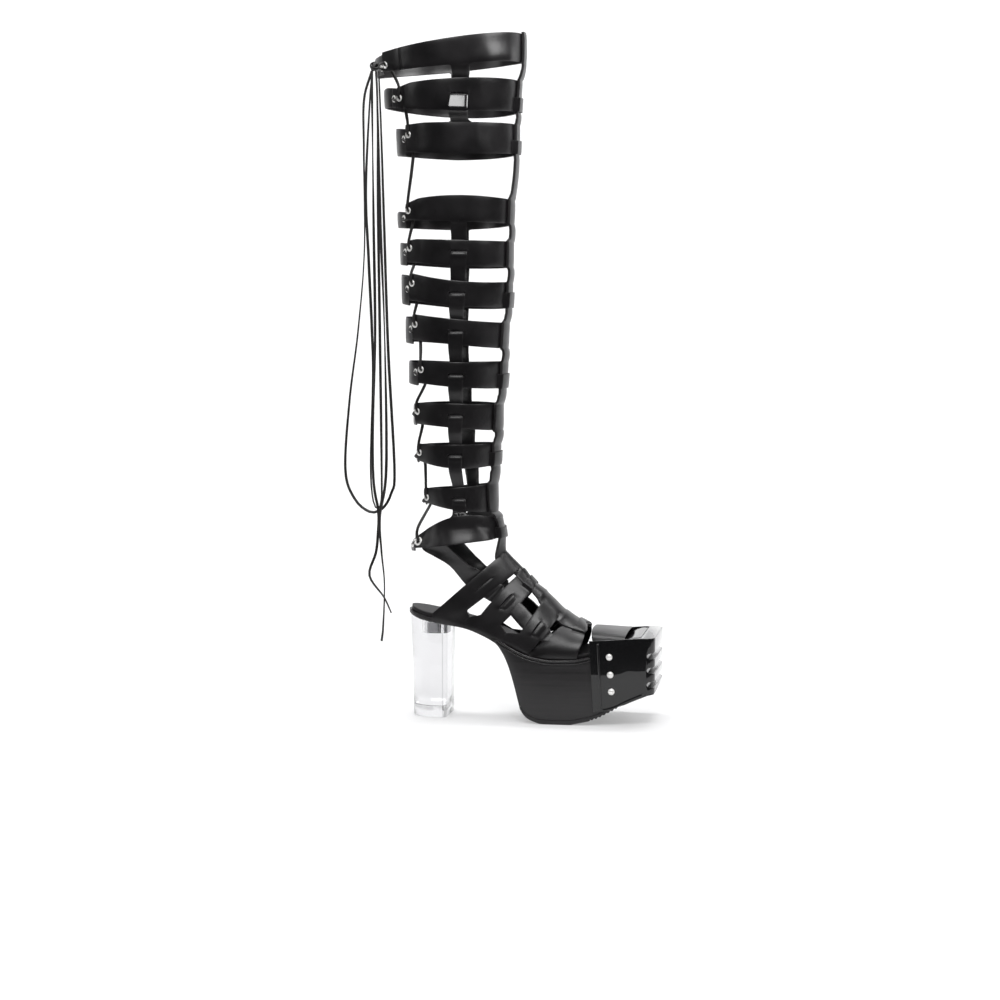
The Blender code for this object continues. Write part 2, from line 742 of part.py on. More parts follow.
def make_spine():
    """The strap down the front, over the instep, to the last arch."""
    rows = []
    for number in range(1, len(BAND_ROWS) + 1):
        top = edge_height(number, "top", 0.0) + SPINE_SPARE
        heights = [top, edge_height(number, "low", 0.0) - SPINE_SPARE]
        keeper = band_value(number, "keeper")
        if keeper:
            heights[1:1] = [keeper + KEEPER_SLIT_HALF, keeper - KEEPER_SLIT_HALF]
        for height in heights:
            half = spine_turn(number, height)
            turns = (half, half / 2, 0.0, -half / 2, -half)
            rows.append([band_point(number, turn, height, STRAP_LIFT) for turn in turns])
    for row in range(len(ARCH_ROWS)):
        spine = arch_value(row, "spine")
        rises = (
            (spine, "outer"), ((spine + 90) / 2, "outer"), (90, "outer"),
            ((spine + 90) / 2, "inner"), (spine, "inner"),
        )
        rows.append([arch_point(row, rise, side, STRAP_LIFT) for rise, side in rises])
    rows[-1] = [before.lerp(after, 0.8) for before, after in zip(rows[-2], rows[-1])]
    points = [point for row in rows for point in row]
    faces = []
    for row in range(len(rows) - 1):
        above = list(range(5 * row, 5 * row + 5))
        faces += strap_faces(above, [index + 5 for index in above])
    sheet("front_spine", points, faces, leather)


def make_toe_strap():
    points, faces = [], []
    rises = (0, 15, 30, 50, 70, 90, 110, 130, 150, 165, 180)
    for rim_x, crest_x, crest_z in TOE_STRAP_ROWS:
        rim_z = footbed(rim_x) + CLEAR
        for rise in rises:
            up = math.sin(math.radians(rise)) ** TOE_STRAP_SQUARENESS
            lean = math.cos(math.radians(rise))
            across = math.copysign(abs(lean) ** TOE_STRAP_SQUARENESS, lean)
            x = rim_x + (crest_x - rim_x) * up
            points.append((x, -TOE_STRAP_HALF * across, rim_z + (crest_z - rim_z) * up))
    wide = len(rises)
    for row in range(len(TOE_STRAP_ROWS) - 1):
        for column in range(wide - 1):
            first = row * wide + column
            faces.append((first, first + wide, first + wide + 1, first + 1))
    sheet("toe_strap", points, faces, leather)


# ---------------------------------------------------------------- the sole
def plan_outline(rows, inset, front, corner):
    """An outline in X and Y: a round heel seat, the rows' sides and a square toe with round corners."""
    outer = [(x, -(near - inset)) for x, near, _ in rows if x < front - corner]
    inner = [(x, far - inset) for x, _, far in rows if x < front - corner]
    half = at_row(rows, PLAN_COLUMNS, front, "outer") - inset
    toe = []
    for step in range(5):
        angle = math.radians(90 * step / 4)
        x = front - corner + corner * math.sin(angle)
        toe.append((x, half - corner + corner * math.cos(angle)))
    heel_half = rows[0][1] - inset
    heel_depth = rows[0][0] - SEAT_BACK
    heel = []
    for step in range(1, 12):
        angle = math.radians(180 * step / 12)
        heel.append((rows[0][0] - heel_depth * math.sin(angle), heel_half * math.cos(angle)))
    return [*outer, *[(x, -y) for x, y in toe], *reversed(toe), *reversed(inner), *heel]


def profile(lower, upper, back, front, extra=()):
    """An outline in X and Z between two functions of x, with a point at each table row."""
    stations = {back, front, *extra}
    stations |= {x for x, _ in (*UNDERSIDE_ROWS, *FOOTBED_ROWS) if back < x < front}
    stations = sorted(stations)
    low = [(x, lower(x)) for x in stations]
    return [*low, *[(x, upper(x)) for x in reversed(stations)]]


def sole_piece(name, plan, side_outline, material):
    node = link(name, plan_prism(name, plan), material, parts)
    cut(node, make_cutter(name + "_profile", side_prism(name + "_profile", side_outline)), "INTERSECT")
    return node


def make_insole():
    plan = plan_outline(UPPER_PLAN_ROWS, LEATHER + 2 * CLEAR, PLATFORM_FRONT - GAP, TOE_CORNER - 3)
    outline = profile(lambda x: footbed(x) - FOOTBED_THICKNESS, footbed, -40, PLATFORM_FRONT + 5)
    sole_piece("insole", plan, outline, footbed_leather)


def platform_low(x):
    """The platform's underside, above the outsole where there is one."""
    if OUTSOLE_BACK < x < OUTSOLE_FRONT:
        return underside(x) + OUTSOLE_THICKNESS + GAP
    return underside(x)


def make_platform():
    plan = plan_outline(PLATFORM_PLAN_ROWS, 0.0, PLATFORM_FRONT, TOE_CORNER - 3)
    step = 0.01
    edges = (OUTSOLE_BACK, OUTSOLE_BACK + step, OUTSOLE_FRONT - step, OUTSOLE_FRONT)
    outline = profile(platform_low, platform_top, -40, PLATFORM_FRONT + 5, edges)
    sole_piece("platform", plan, outline, smooth_leather)


def outsole_low(x):
    """The outsole's underside, with the lugs' grooves under the toe."""
    along = (x - LUG_FIRST) / LUG_PITCH
    in_groove = 0 <= along < LUG_COUNT and round(2 * along) % 2 == 1
    return underside(x) + (LUG_DEPTH if in_groove else 0.0)


def make_outsole():
    plan = plan_outline(PLATFORM_PLAN_ROWS, 0.0, PLATFORM_FRONT, TOE_CORNER)
    lugs = [LUG_FIRST + LUG_PITCH * step / 2 for step in range(2 * LUG_COUNT)]
    outline = profile(
        outsole_low, lambda x: underside(x) + OUTSOLE_THICKNESS, OUTSOLE_BACK + GAP, OUTSOLE_FRONT - GAP, lugs
    )
    sole_piece("outsole", plan, outline, rubber)


def guard_low(x):
    """The guard's lower edge, which runs down to meet the outsole at the toe."""
    back = underside(GUARD_BACK) + 8.5
    part = min(1.0, (x - GUARD_BACK) / (OUTSOLE_FRONT - GUARD_BACK))
    return back + (underside(OUTSOLE_FRONT) - back) * part if part < 1 else underside(x)


def make_toe_guard():
    rows = ((GUARD_BACK - 60, GUARD_SIDE, GUARD_SIDE), (GUARD_FRONT + 20, GUARD_SIDE, GUARD_SIDE))
    plan = plan_outline(rows, 0.0, GUARD_FRONT, TOE_CORNER)
    rim = 88.8
    outline = [
        (GUARD_BACK + 4.3, guard_low(GUARD_BACK + 4.3)), (190, guard_low(190)),
        (OUTSOLE_FRONT, guard_low(OUTSOLE_FRONT)), (GUARD_FRONT + 5, underside(GUARD_FRONT)),
        (GUARD_FRONT + 5, 91.2), (215, 91.6), (GUARD_BACK, rim),
    ]
    node = sole_piece("toe_guard", plan, outline, patent)
    inside = plan_outline(PLATFORM_PLAN_ROWS, -GAP - 0.1, PLATFORM_FRONT + GAP, TOE_CORNER - 3)
    cut(node, make_cutter("guard_hollow", plan_prism("guard_hollow", inside)))
    for number, (ledge, roof) in enumerate(GROOVE_ROWS, 1):
        front = GUARD_FRONT + 4
        deep = GUARD_FRONT - GROOVE_DEPTH
        groove = [(deep, ledge + 1.5), (front, ledge - 1.0), (front, roof + 0.6), (deep, roof)]
        cutter = make_cutter(f"groove_{number}", side_prism(f"groove_{number}", groove))
        cut(node, cutter)


def make_rivets():
    number = 0
    for side in (-1, 1):
        for x, z in RIVET_ROWS:
            number += 1
            middle = Vector((x, side * GUARD_SIDE, z))
            normal = Vector((0, side, 0))
            rim = RIVET_RADIUS * MM
            top = RIVET_HEIGHT * MM
            outline = [(0, top), (0.6 * rim, 0.85 * top), (rim, 0.3 * top), (rim, 0), (0, 0)]
            node = turned(f"guard_rivet_{number}", outline, 12, nickel)
            node.matrix_world = place(middle, normal, GAP)


def turned(name, outline, sides, material):
    """A profile of (radius, height), from the top down its outer side, turned about Z."""
    mesh = bpy.data.meshes.new(name)
    closed = outline[0][0] > 0
    count = len(outline)
    edges = [(k, k + 1) for k in range(count - 1)] + ([(count - 1, 0)] if closed else [])
    mesh.from_pydata([(radius, 0, height) for radius, height in outline], edges, [])
    node = link(name, mesh, material, parts)
    screw = node.modifiers.new("turn", "SCREW")
    screw.steps = sides
    screw.render_steps = sides
    screw.use_merge_vertices = True
    screw.merge_threshold = 0.00001
    return node


# ---------------------------------------------------------------- the heel
def heel_ring(height, seat=False):
    """The heel's outline at a height: a round back and a straight breast with round corners."""
    values = [at_row(HEEL_ROWS, HEEL_COLUMNS, height, name) for name in HEEL_COLUMNS]
    _, back, breast, half, corner = values
    flank = back + half
    ring = []
    for step in range(9):
        angle = math.radians(180 * step / 8)
        ring.append((flank - half * math.sin(angle), half * math.cos(angle)))
    for turn in (-90, -45, 0):
        angle = math.radians(turn)
        x = breast - corner + corner * math.cos(angle)
        ring.append((x, -half + corner + corner * math.sin(angle)))
    for turn in (0, 45, 90):
        angle = math.radians(turn)
        x = breast - corner + corner * math.cos(angle)
        ring.append((x, half - corner + corner * math.sin(angle)))
    return [Vector((x, y, underside(x) - GAP if seat else height)) for x, y in ring]


def loft(name, rings, material):
    points = [point * MM for ring in rings for point in ring]
    wide = len(rings[0])
    faces = [tuple(reversed(range(wide)))]
    for row in range(len(rings) - 1):
        for column in range(wide):
            after = (column + 1) % wide
            low, high = row * wide, (row + 1) * wide
            faces.append((low + column, low + after, high + after, high + column))
    faces.append(tuple(range(len(points) - wide, len(points))))
    mesh = bpy.data.meshes.new(name)
    mesh.from_pydata(points, [], faces)
    return link(name, mesh, material, parts)


def make_heel():
    lift_top = HEEL_LIFT_HEIGHT
    loft("heel_lift", [heel_ring(0.0), heel_ring(lift_top)], clear_plastic)
    rings = [heel_ring(height) for height in (lift_top + GAP, 40.0, 80.0)]
    block = loft("heel_block", [*rings, heel_ring(105.0, seat=True)], clear_plastic)
    work = bmesh.new()
    middle = Matrix.Translation((HEEL_SCREW_X * MM, 0, (HEEL_POCKET_FLOOR + 20) * MM))
    bmesh.ops.create_cone(
        work, cap_ends=True, segments=20, radius1=HEEL_POCKET_RADIUS * MM,
        radius2=HEEL_POCKET_RADIUS * MM, depth=40 * MM, matrix=middle,
    )
    mesh = bpy.data.meshes.new("heel_pocket")
    work.to_mesh(mesh)
    work.free()
    cut(block, make_cutter("heel_pocket", mesh))
    low = HEEL_POCKET_FLOOR + GAP
    screw = turned("heel_screw", screw_outline(HEEL_SCREW_TOP - low), 20, steel)
    screw.location = (HEEL_SCREW_X * MM, 0, low * MM)


def screw_outline(height):
    """A stub with one groove round its waist."""
    rows = (
        (0.0, height), (HEEL_SCREW_RADIUS, height), (HEEL_SCREW_RADIUS, 0.6 * height),
        (HEEL_SCREW_RADIUS - 1.2, 0.52 * height), (HEEL_SCREW_RADIUS, 0.44 * height),
        (HEEL_SCREW_RADIUS, 0.0), (0.0, 0.0),
    )
    return [(radius * MM, up * MM) for radius, up in rows]


# ---------------------------------------------------------------- eyelets and lace
def make_eyelet(number, side):
    middle, normal = eyelet_frame(number, side)
    bore, rim, high = EYELET_BORE * MM, EYELET_RADIUS * MM, EYELET_HEIGHT * MM
    outline = [(bore, 0.8 * high), (0.78 * rim, high), (rim, 0.0), (bore, 0.0)]
    node = turned(f"eyelet_{number:02d}_{side}", outline, EYELET_SIDES, nickel)
    node.matrix_world = place(middle, normal, GAP)


def tube(name, points, radius, resolution):
    curve = bpy.data.curves.new(name, "CURVE")
    curve.dimensions = "3D"
    curve.bevel_depth = radius * MM
    curve.bevel_resolution = resolution
    curve.use_fill_caps = True
    spline = curve.splines.new("POLY")
    spline.points.add(len(points) - 1)
    for point, place_at in zip(spline.points, points):
        point.co = (*(Vector(place_at) * MM), 1.0)
    return curve


def around_middle(here, there):
    """The point half way along the shaft's curve between two points that lie off it."""
    axis = Vector((SHAFT_MIDDLE, 0, (here.z + there.z) / 2))
    first, last = here - axis, there - axis
    first.z = last.z = 0
    return axis + (first + last).normalized() * (first.length + last.length) / 2


def knot_side(there):
    """The point just off the knot that faces another point."""
    away = there - Vector(KNOT_CENTRE)
    reach = Vector([away[axis] / KNOT_RADII[axis] for axis in range(3)]).length
    return Vector(KNOT_CENTRE) + away / reach + away.normalized() * GAP


def make_crossings():
    """The lace between the eyelets: two strands that cross in every gap, joined where they cross."""
    strands = []
    for start in (0, 1):
        points = []
        for number in range(1, len(BAND_ROWS) + 1):
            side = "outer" if (number + start) % 2 else "inner"
            middle, normal = eyelet_frame(number, side)
            there = middle + normal * CROSSING_LIFT
            if points:
                points.append(around_middle(points[-1], there))
            points.append(there)
        strands.append([knot_side(points[0]), *points])
    mesh = mesh_of_curve(tube("lace_crossings", strands[0], CROSSING_RADIUS, 1))
    node = link("lace_crossings", mesh, lace_leather, parts)
    other = make_cutter("other_strand", mesh_of_curve(tube("other", strands[1], CROSSING_RADIUS, 1)))
    cut(node, other, "UNION")


def smooth_route(route):
    """The route's own points and, on its long runs, points between them on one smooth curve."""
    places = [Vector(place_at) for place_at in route]
    padded = [2 * places[0] - places[1], *places, 2 * places[-1] - places[-2]]
    smooth = []
    for before, start, stop, after in zip(padded, padded[1:], padded[2:], padded[3:]):
        steps = math.ceil((stop - start).length / LACE_STEP)
        for step in range(steps):
            part = step / steps
            bend = 2 * before - 5 * start + 4 * stop - after
            twist = 3 * start - before - 3 * stop + after
            smooth.append(start + ((stop - before) * part + bend * part**2 + twist * part**3) / 2)
    return [*smooth, places[-1]]


def make_cord(name, route):
    curve = tube(name, smooth_route(route), LACE_WIDTH / 2, 2)
    node = bpy.data.objects.new(name, curve)
    curve.materials.append(lace_leather)
    parts.objects.link(node)


def make_lace():
    make_crossings()
    bpy.ops.mesh.primitive_uv_sphere_add(segments=10, ring_count=7, radius=1.0)
    knot = bpy.context.object
    knot.name = "lace_knot"
    knot.data.transform(Matrix.Diagonal((*(Vector(KNOT_RADII) * MM), 1.0)))
    knot.location = Vector(KNOT_CENTRE) * MM
    knot.data.materials.append(lace_leather)
    for collection in list(knot.users_collection):
        collection.objects.unlink(knot)
    parts.objects.link(knot)
    make_cord("lace_loop_1", LOOP_1_ROUTE)
    make_cord("lace_loop_2", LOOP_2_ROUTE)
    make_cord("lace_end_1", END_1_ROUTE)
    make_cord("lace_end_2", END_2_ROUTE)


def smooth_round_pieces():
    for node in parts.objects:
        if node.type == "MESH" and node.name.startswith(("eyelet", "guard_rivet", "heel_screw")):
            node.data.shade_smooth()
            node.data.set_sharp_from_angle(angle=math.radians(35))


# ---------------------------------------------------------------- the boot
clear_scene()
parts = make_collection(COLLECTION)
cutters = make_collection("cutters")

leather = make_material("leather", (0.012, 0.011, 0.012), 0.38)
smooth_leather = make_material("smooth_leather", (0.016, 0.015, 0.016), 0.45)
footbed_leather = make_material("footbed_leather", (0.05, 0.048, 0.05), 0.3)
rubber = make_material("rubber", (0.01, 0.01, 0.01), 0.6)
patent = make_material("patent", (0.005, 0.005, 0.006), 0.08)
clear_plastic = make_material("clear_plastic", (0.95, 0.96, 0.97), 0.04, 0.0, 1.0)
steel = make_material("steel", (0.7, 0.7, 0.72), 0.2, 1.0)
nickel = make_material("nickel", (0.78, 0.78, 0.8), 0.2, 1.0)
lace_leather = make_material("lace_leather", (0.02, 0.018, 0.02), 0.5)

make_outsole()
make_platform()
make_insole()
make_heel()
make_toe_guard()
make_rivets()
make_foot_cage()
make_toe_strap()
make_cage("thigh_cage", 1, 3)
make_cage("calf_cage", 4, 12, joined=False)
for number in (2, 5, 6, 7, 8, 9, 10, 11, 12):
    make_band(number)
make_spine()
for number in range(1, len(BAND_ROWS) + 1):
    for side in ("outer", "inner"):
        make_eyelet(number, side)
make_lace()
smooth_round_pieces()
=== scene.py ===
# %% [markdown]
# # A thigh-high cage boot
#
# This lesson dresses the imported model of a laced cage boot: leather bands round the leg, straps woven
# through them, a clear heel, and a glossy guard round the toe. Every piece is made where the packed
# model has it, in metres, with +X to the toe, +Z up and the outer side of the foot at -Y.

import math

import bmesh
import bpy
from mathutils import Matrix, Vector, noise


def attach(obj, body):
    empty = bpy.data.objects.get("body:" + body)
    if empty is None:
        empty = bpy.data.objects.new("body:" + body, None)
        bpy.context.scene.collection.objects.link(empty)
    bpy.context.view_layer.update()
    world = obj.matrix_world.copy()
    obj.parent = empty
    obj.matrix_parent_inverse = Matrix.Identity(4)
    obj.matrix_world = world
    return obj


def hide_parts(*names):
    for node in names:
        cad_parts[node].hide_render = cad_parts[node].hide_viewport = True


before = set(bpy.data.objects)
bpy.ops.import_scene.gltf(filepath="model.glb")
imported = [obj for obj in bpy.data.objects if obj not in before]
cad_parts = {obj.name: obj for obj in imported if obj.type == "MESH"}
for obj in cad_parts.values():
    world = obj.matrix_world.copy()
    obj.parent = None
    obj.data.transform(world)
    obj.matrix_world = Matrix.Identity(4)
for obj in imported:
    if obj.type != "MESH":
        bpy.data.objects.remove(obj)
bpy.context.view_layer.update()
MM = 0.001

# %% [markdown]
# ## The studio
# The boot stands on a pale sweep: a floor that curves up into a backdrop. Black leather is seen by what
# it mirrors, so the lights are large soft panels, and the side behind the camera is kept dim: a strap
# that faces the lens stays nearly black, and one that tips upwards lights up.

# %% Camera
CAMERA_PLACE, CAMERA_AIM = (0.4865, -2.3720, 0.4639), (0.0683, 0.0, 0.229)
LENS, SENSOR_WIDTH = 83.0, 36.0


def new_object(name, data, materials=()):
    """An object in the scene, with its materials."""
    made = bpy.data.objects.new(name, data)
    for material in materials:
        data.materials.append(material)
    bpy.context.scene.collection.objects.link(made)
    return made


def aimed(made, place, aim):
    """The object, put at a place and turned so that it looks at another."""
    made.location = place
    made.rotation_euler = (Vector(aim) - Vector(place)).to_track_quat("-Z", "Y").to_euler()
    return made


camera_data = bpy.data.cameras.new("camera")
camera_data.lens = LENS
camera_data.sensor_width = SENSOR_WIDTH
camera = aimed(new_object("camera", camera_data), CAMERA_PLACE, CAMERA_AIM)
bpy.context.scene.camera = camera
bpy.context.scene.view_settings.view_transform = "Standard"
print("camera:", LENS, "mm lens,", round((Vector(CAMERA_AIM) - camera.location).length, 2), "m away")


# %% Materials: a helper that makes a shader with named settings
def new_material(name, **settings):
    """A Principled material. Each setting is a socket's name with _ for a space."""
    material = bpy.data.materials.new(name)
    material.use_nodes = True
    shader = material.node_tree.nodes["Principled BSDF"]
    for socket, value in settings.items():
        shader.inputs[socket.replace("_", " ")].default_value = value
    return material, material.node_tree, shader


def linked(tree, kind, sources, **values):
    """A node whose inputs are linked to the outputs in sources, or set to the values."""
    node = tree.nodes.new(kind)
    for key, value in values.items():
        node.inputs[key.replace("_", " ")].default_value = value
    for socket, output in sources.items():
        tree.links.new(output, node.inputs[socket])
    return node


# %% The sweep and the surroundings
paper, _, _ = new_material(
    "sweep", Base_Color=(0.58, 0.58, 0.585, 1), Roughness=0.75, Emission_Color=(1, 1, 1, 1),
    Emission_Strength=0.34
)
APRON_FRONT, FLOOR_FRONT, FLOOR_BACK = -2.2, -0.35, 1.1
SWEEP_RADIUS, SWEEP_HEIGHT, SWEEP_HALF, SWEEP_STEPS = 0.6, 1.9, 2.6, 12
section = [(FLOOR_FRONT, 0.0), (FLOOR_BACK, 0.0)]
for step in range(1, SWEEP_STEPS + 1):
    angle = math.radians(90 * step / SWEEP_STEPS)
    section.append((FLOOR_BACK + SWEEP_RADIUS * math.sin(angle), SWEEP_RADIUS * (1 - math.cos(angle))))
section.append((FLOOR_BACK + SWEEP_RADIUS, SWEEP_HEIGHT))


def lay_paper(name, points, faces):
    """A sheet of the paper, which isn't part of the boot."""
    mesh = bpy.data.meshes.new(name)
    mesh.from_pydata(points, [], faces)
    mesh.shade_smooth()
    sheet = new_object(name, mesh, (paper,))
    return sheet


sweep_points = [(side * SWEEP_HALF, y, z) for y, z in section for side in (-1, 1)]
sweep_faces = [(2 * k, 2 * k + 1, 2 * k + 3, 2 * k + 2) for k in range(len(section) - 1)]
lay_paper("sweep", sweep_points, sweep_faces)
# The paper goes on towards the lens, but mirrors don't show this part of it, so the straps mirror
# the dim room beyond the paper's edge.
apron_points = [(side * SWEEP_HALF, y, 0) for y in (APRON_FRONT, FLOOR_FRONT) for side in (-1, 1)]
apron = lay_paper("apron", apron_points, [(0, 1, 3, 2)])
apron.visible_glossy = False

# %% The room
# The lens sees a pale room, and the leather mirrors a dim one.
ROOM_MIRRORED, ROOM_SEEN = 0.05, 0.95
world = bpy.data.worlds.new("studio")
bpy.context.scene.world = world
world.use_nodes = True
tree = world.node_tree
light_path = tree.nodes.new("ShaderNodeLightPath")
sources = {"Value": light_path.outputs["Is Camera Ray"]}
dim = linked(tree, "ShaderNodeMapRange", sources, To_Min=ROOM_MIRRORED, To_Max=ROOM_SEEN)
background = tree.nodes["Background"]
background.inputs["Color"].default_value = (0.93, 0.94, 0.96, 1)
tree.links.new(dim.outputs["Result"], background.inputs["Strength"])


# %% Soft panels of light
def add_panel(name, place, aim, wide, high, watts):
    """A soft panel, its sizes in metres and its power in watts."""
    data = bpy.data.lights.new(name, "AREA")
    data.shape = "RECTANGLE"
    data.size = wide
    data.size_y = high
    data.energy = watts
    return aimed(new_object(name, data), place, aim)


PANELS = (
    ("key_over_the_lens", (0.3, -1.7, 1.95), (0.05, 0.0, 0.35), 1.5, 0.8, 34),
    ("panel_at_the_toe", (1.7, -0.6, 1.45), (0.05, 0.0, 0.45), 0.7, 0.9, 9.5),
    ("panel_at_the_back", (-1.7, -0.75, 1.2), (0.0, 0.0, 0.4), 0.6, 1.2, 6),
    ("panel_overhead", (0.1, 0.1, 2.3), (0.05, 0.0, 0.0), 1.6, 1.4, 19),
    ("wash_on_the_backdrop", (0.0, 0.5, 2.1), (0.0, 1.7, 0.4), 3.4, 0.5, 42),
)
for panel in PANELS:
    add_panel(*panel)
print("studio:", len(PANELS), "panels, sweep", round(FLOOR_BACK - FLOOR_FRONT, 2), "m deep")

# %% [markdown]
# ## Leather, patent, rubber, clear plastic and metal
# The straps are smooth, waxed leather: nearly black, with a soft shine that a fine grain breaks up, and
# slow waves where the hide gives. A cut edge is duller. All patterns read the object's own coordinates,
# so they are the same size on every piece.

# %% Leather
def bumped(tree, shader, layers):
    """Stacks bump layers: (height output, distance in metres, strength)."""
    sources = {}
    for height, distance, strength in layers:
        sources["Height"] = height
        bump = linked(tree, "ShaderNodeBump", sources, Strength=strength, Distance=distance)
        sources["Normal"] = bump.outputs["Normal"]
    tree.links.new(sources["Normal"], shader.inputs["Normal"])


def own_coordinates(tree):
    """The piece's own coordinates, in metres."""
    return tree.nodes.new("ShaderNodeTexCoord").outputs["Object"]


def noise_of(tree, scale, detail=2.0, roughness=0.5, stretch=None):
    """A noise on the object's coordinates, stretched along an axis if asked."""
    sources = {"Vector": own_coordinates(tree)}
    if stretch:
        sources = {"Vector": linked(tree, "ShaderNodeMapping", sources, Scale=stretch).outputs["Vector"]}
    settings = {"Scale": scale, "Detail": detail, "Roughness": roughness}
    return linked(tree, "ShaderNodeTexNoise", sources, **settings).outputs["Fac"]


def pores_of(tree, scale):
    """The distance to the nearest border of a net of small cells."""
    cells = linked(tree, "ShaderNodeTexVoronoi", {"Vector": own_coordinates(tree)}, Scale=scale)
    cells.feature = "DISTANCE_TO_EDGE"
    return cells.outputs["Distance"]


def ranged(tree, value, low, high, start=0.3, stop=0.7):
    """A value from low to high as the input goes from start to stop."""
    settings = {"From_Min": start, "From_Max": stop, "To_Min": low, "To_Max": high}
    return linked(tree, "ShaderNodeMapRange", {"Value": value}, **settings).outputs["Result"]


def tinted(tree, value, dark, light):
    """A colour from dark to light as the value goes from 0 to 1."""
    mix = tree.nodes.new("ShaderNodeMix")
    mix.data_type = "RGBA"
    mix.inputs["A"].default_value = (*dark, 1)
    mix.inputs["B"].default_value = (*light, 1)
    tree.links.new(value, mix.inputs["Factor"])
    return mix.outputs["Result"]


def make_leather(name, dark, light, smooth, rough, grain, wave, mirror=0.5):
    """Leather between two shades and two roughnesses, with its grain's and its waves' strength."""
    material, tree, shader = new_material(name, Specular_IOR_Level=mirror)
    cloud = noise_of(tree, 38.0, 4.0)
    tree.links.new(tinted(tree, ranged(tree, cloud, 0.0, 1.0), dark, light), shader.inputs["Base Color"])
    tree.links.new(ranged(tree, cloud, smooth, rough), shader.inputs["Roughness"])
    bumped(tree, shader, (
        (pores_of(tree, 1500.0), 0.00012, grain),
        (noise_of(tree, 900.0, 3.0), 0.00010, grain),
        (noise_of(tree, 26.0, 2.0), 0.0016, wave),
    ))
    return material


STRAP_SHADES = (0.0045, 0.004, 0.0045), (0.008, 0.007, 0.008)
strap_leather = make_leather("strap_leather", *STRAP_SHADES, 0.30, 0.38, 0.22, 0.10)
strap_polished = make_leather("strap_polished", *STRAP_SHADES, 0.13, 0.19, 0.15, 0.05, 0.8)
cut_edge = make_leather("cut_edge", (0.008, 0.007, 0.008), (0.016, 0.014, 0.015), 0.52, 0.68, 0.6, 0.1)
lace_leather = make_leather(
    "lace_leather", (0.007, 0.006, 0.006), (0.014, 0.012, 0.012), 0.40, 0.55, 0.5, 0.1
)
print("leathers:", strap_leather.name, cut_edge.name, lace_leather.name)

# %% The sole's coverings
footbed_gloss = make_leather(
    "footbed_gloss", (0.008, 0.007, 0.008), (0.014, 0.012, 0.013), 0.16, 0.26, 0.12, 0.05
)
GLOSS_FROM_TO = 0.15, 0.2  # the places along the foot, in metres, between which the gloss grows


def make_footbed_cover():
    """The footbed's cover: worn matt at the seat, and glossy in the toe."""
    material, tree, shader = new_material("footbed_cover", Base_Color=(0.012, 0.011, 0.012, 1))
    along = linked(tree, "ShaderNodeSeparateXYZ", {"Vector": own_coordinates(tree)}).outputs["X"]
    for socket, seat, toe in (("Roughness", 0.5, 0.12), ("Specular IOR Level", 0.18, 0.6)):
        tree.links.new(ranged(tree, along, seat, toe, *GLOSS_FROM_TO), shader.inputs[socket])
    bumped(tree, shader, ((pores_of(tree, 1300.0), 0.0001, 0.12), (noise_of(tree, 26.0), 0.0012, 0.05)))
    return material


footbed_cover = make_footbed_cover()


def make_platform_cover():
    """A smooth wrap whose grain runs along the sole as faint lines."""
    material, tree, shader = new_material("platform_cover", Specular_IOR_Level=0.5)
    lines = noise_of(tree, 60.0, 3.0, 0.6, (0.25, 0.25, 9.0))
    colour = tinted(tree, ranged(tree, lines, 0.0, 1.0), (0.008, 0.0075, 0.008), (0.015, 0.0135, 0.015))
    tree.links.new(colour, shader.inputs["Base Color"])
    tree.links.new(ranged(tree, lines, 0.34, 0.46), shader.inputs["Roughness"])
    bumped(tree, shader, ((lines, 0.0004, 0.22), (noise_of(tree, 1100.0), 0.0001, 0.15)))
    return material


platform_cover = make_platform_cover()


def make_patent():
    """Lacquered plastic: a mirror-smooth coat over black, very slightly uneven."""
    material, tree, shader = new_material(
        "patent", Base_Color=(0.004, 0.004, 0.0045, 1), Roughness=0.3, Specular_IOR_Level=0.12,
        Coat_Weight=1.0, Coat_Roughness=0.03
    )
    sources = {"Height": noise_of(tree, 45.0, 1.0)}
    ripple = linked(tree, "ShaderNodeBump", sources, Strength=0.10, Distance=0.0015)
    for socket in ("Coat Normal", "Normal"):
        tree.links.new(ripple.outputs["Normal"], shader.inputs[socket])
    return material


patent = make_patent()

# %% [markdown]
# The heel is clear acrylic: it lets light through, bends it, and has a very slightly uneven surface. Its
# corners look greyer, where the light is bent away, so strips along them get a darker tint: painted
# shade.

# %% Clear plastic and metals
ACRYLIC = {"Transmission_Weight": 1.0, "IOR": 1.49}


def make_hard(name, colour, bump, noise_settings, **settings):
    """A hard finish with one fine bump: (distance in metres, strength)."""
    material, tree, shader = new_material(name, Base_Color=(*colour, 1), **settings)
    bumped(tree, shader, ((noise_of(tree, *noise_settings), *bump),))
    return material


ACRYLIC_WAVES, ACRYLIC_SCALE = (0.0004, 0.08), (140.0,)
clear_heel = make_hard(
    "clear_heel", (0.74, 0.74, 0.75), ACRYLIC_WAVES, ACRYLIC_SCALE, Roughness=0.03, **ACRYLIC
)
# The same clear plastic tinted darker: painted shade for the heel's corners, where the light is bent
# away.
clear_edge_painted_shade = make_hard(
    "clear_edge_painted_shade", (0.5, 0.5, 0.51), ACRYLIC_WAVES, ACRYLIC_SCALE, Roughness=0.08, **ACRYLIC
)
nickel = make_hard("nickel", (0.93, 0.92, 0.90), (0.0001, 0.12), (600.0,), Metallic=0.6, Roughness=0.34)
rubber = make_hard("rubber", (0.011, 0.010, 0.011), (0.0002, 0.4), (700.0, 3.0), Roughness=0.5)
TURNED = (90.0, 2.0, 0.5, (1.0, 1.0, 14.0))  # fine rings from the lathe
steel = make_hard("steel", (0.62, 0.62, 0.63), (0.0002, 0.3), TURNED, Metallic=1.0, Roughness=0.24)
print("hard materials:", patent.name, rubber.name, clear_heel.name, nickel.name, steel.name)

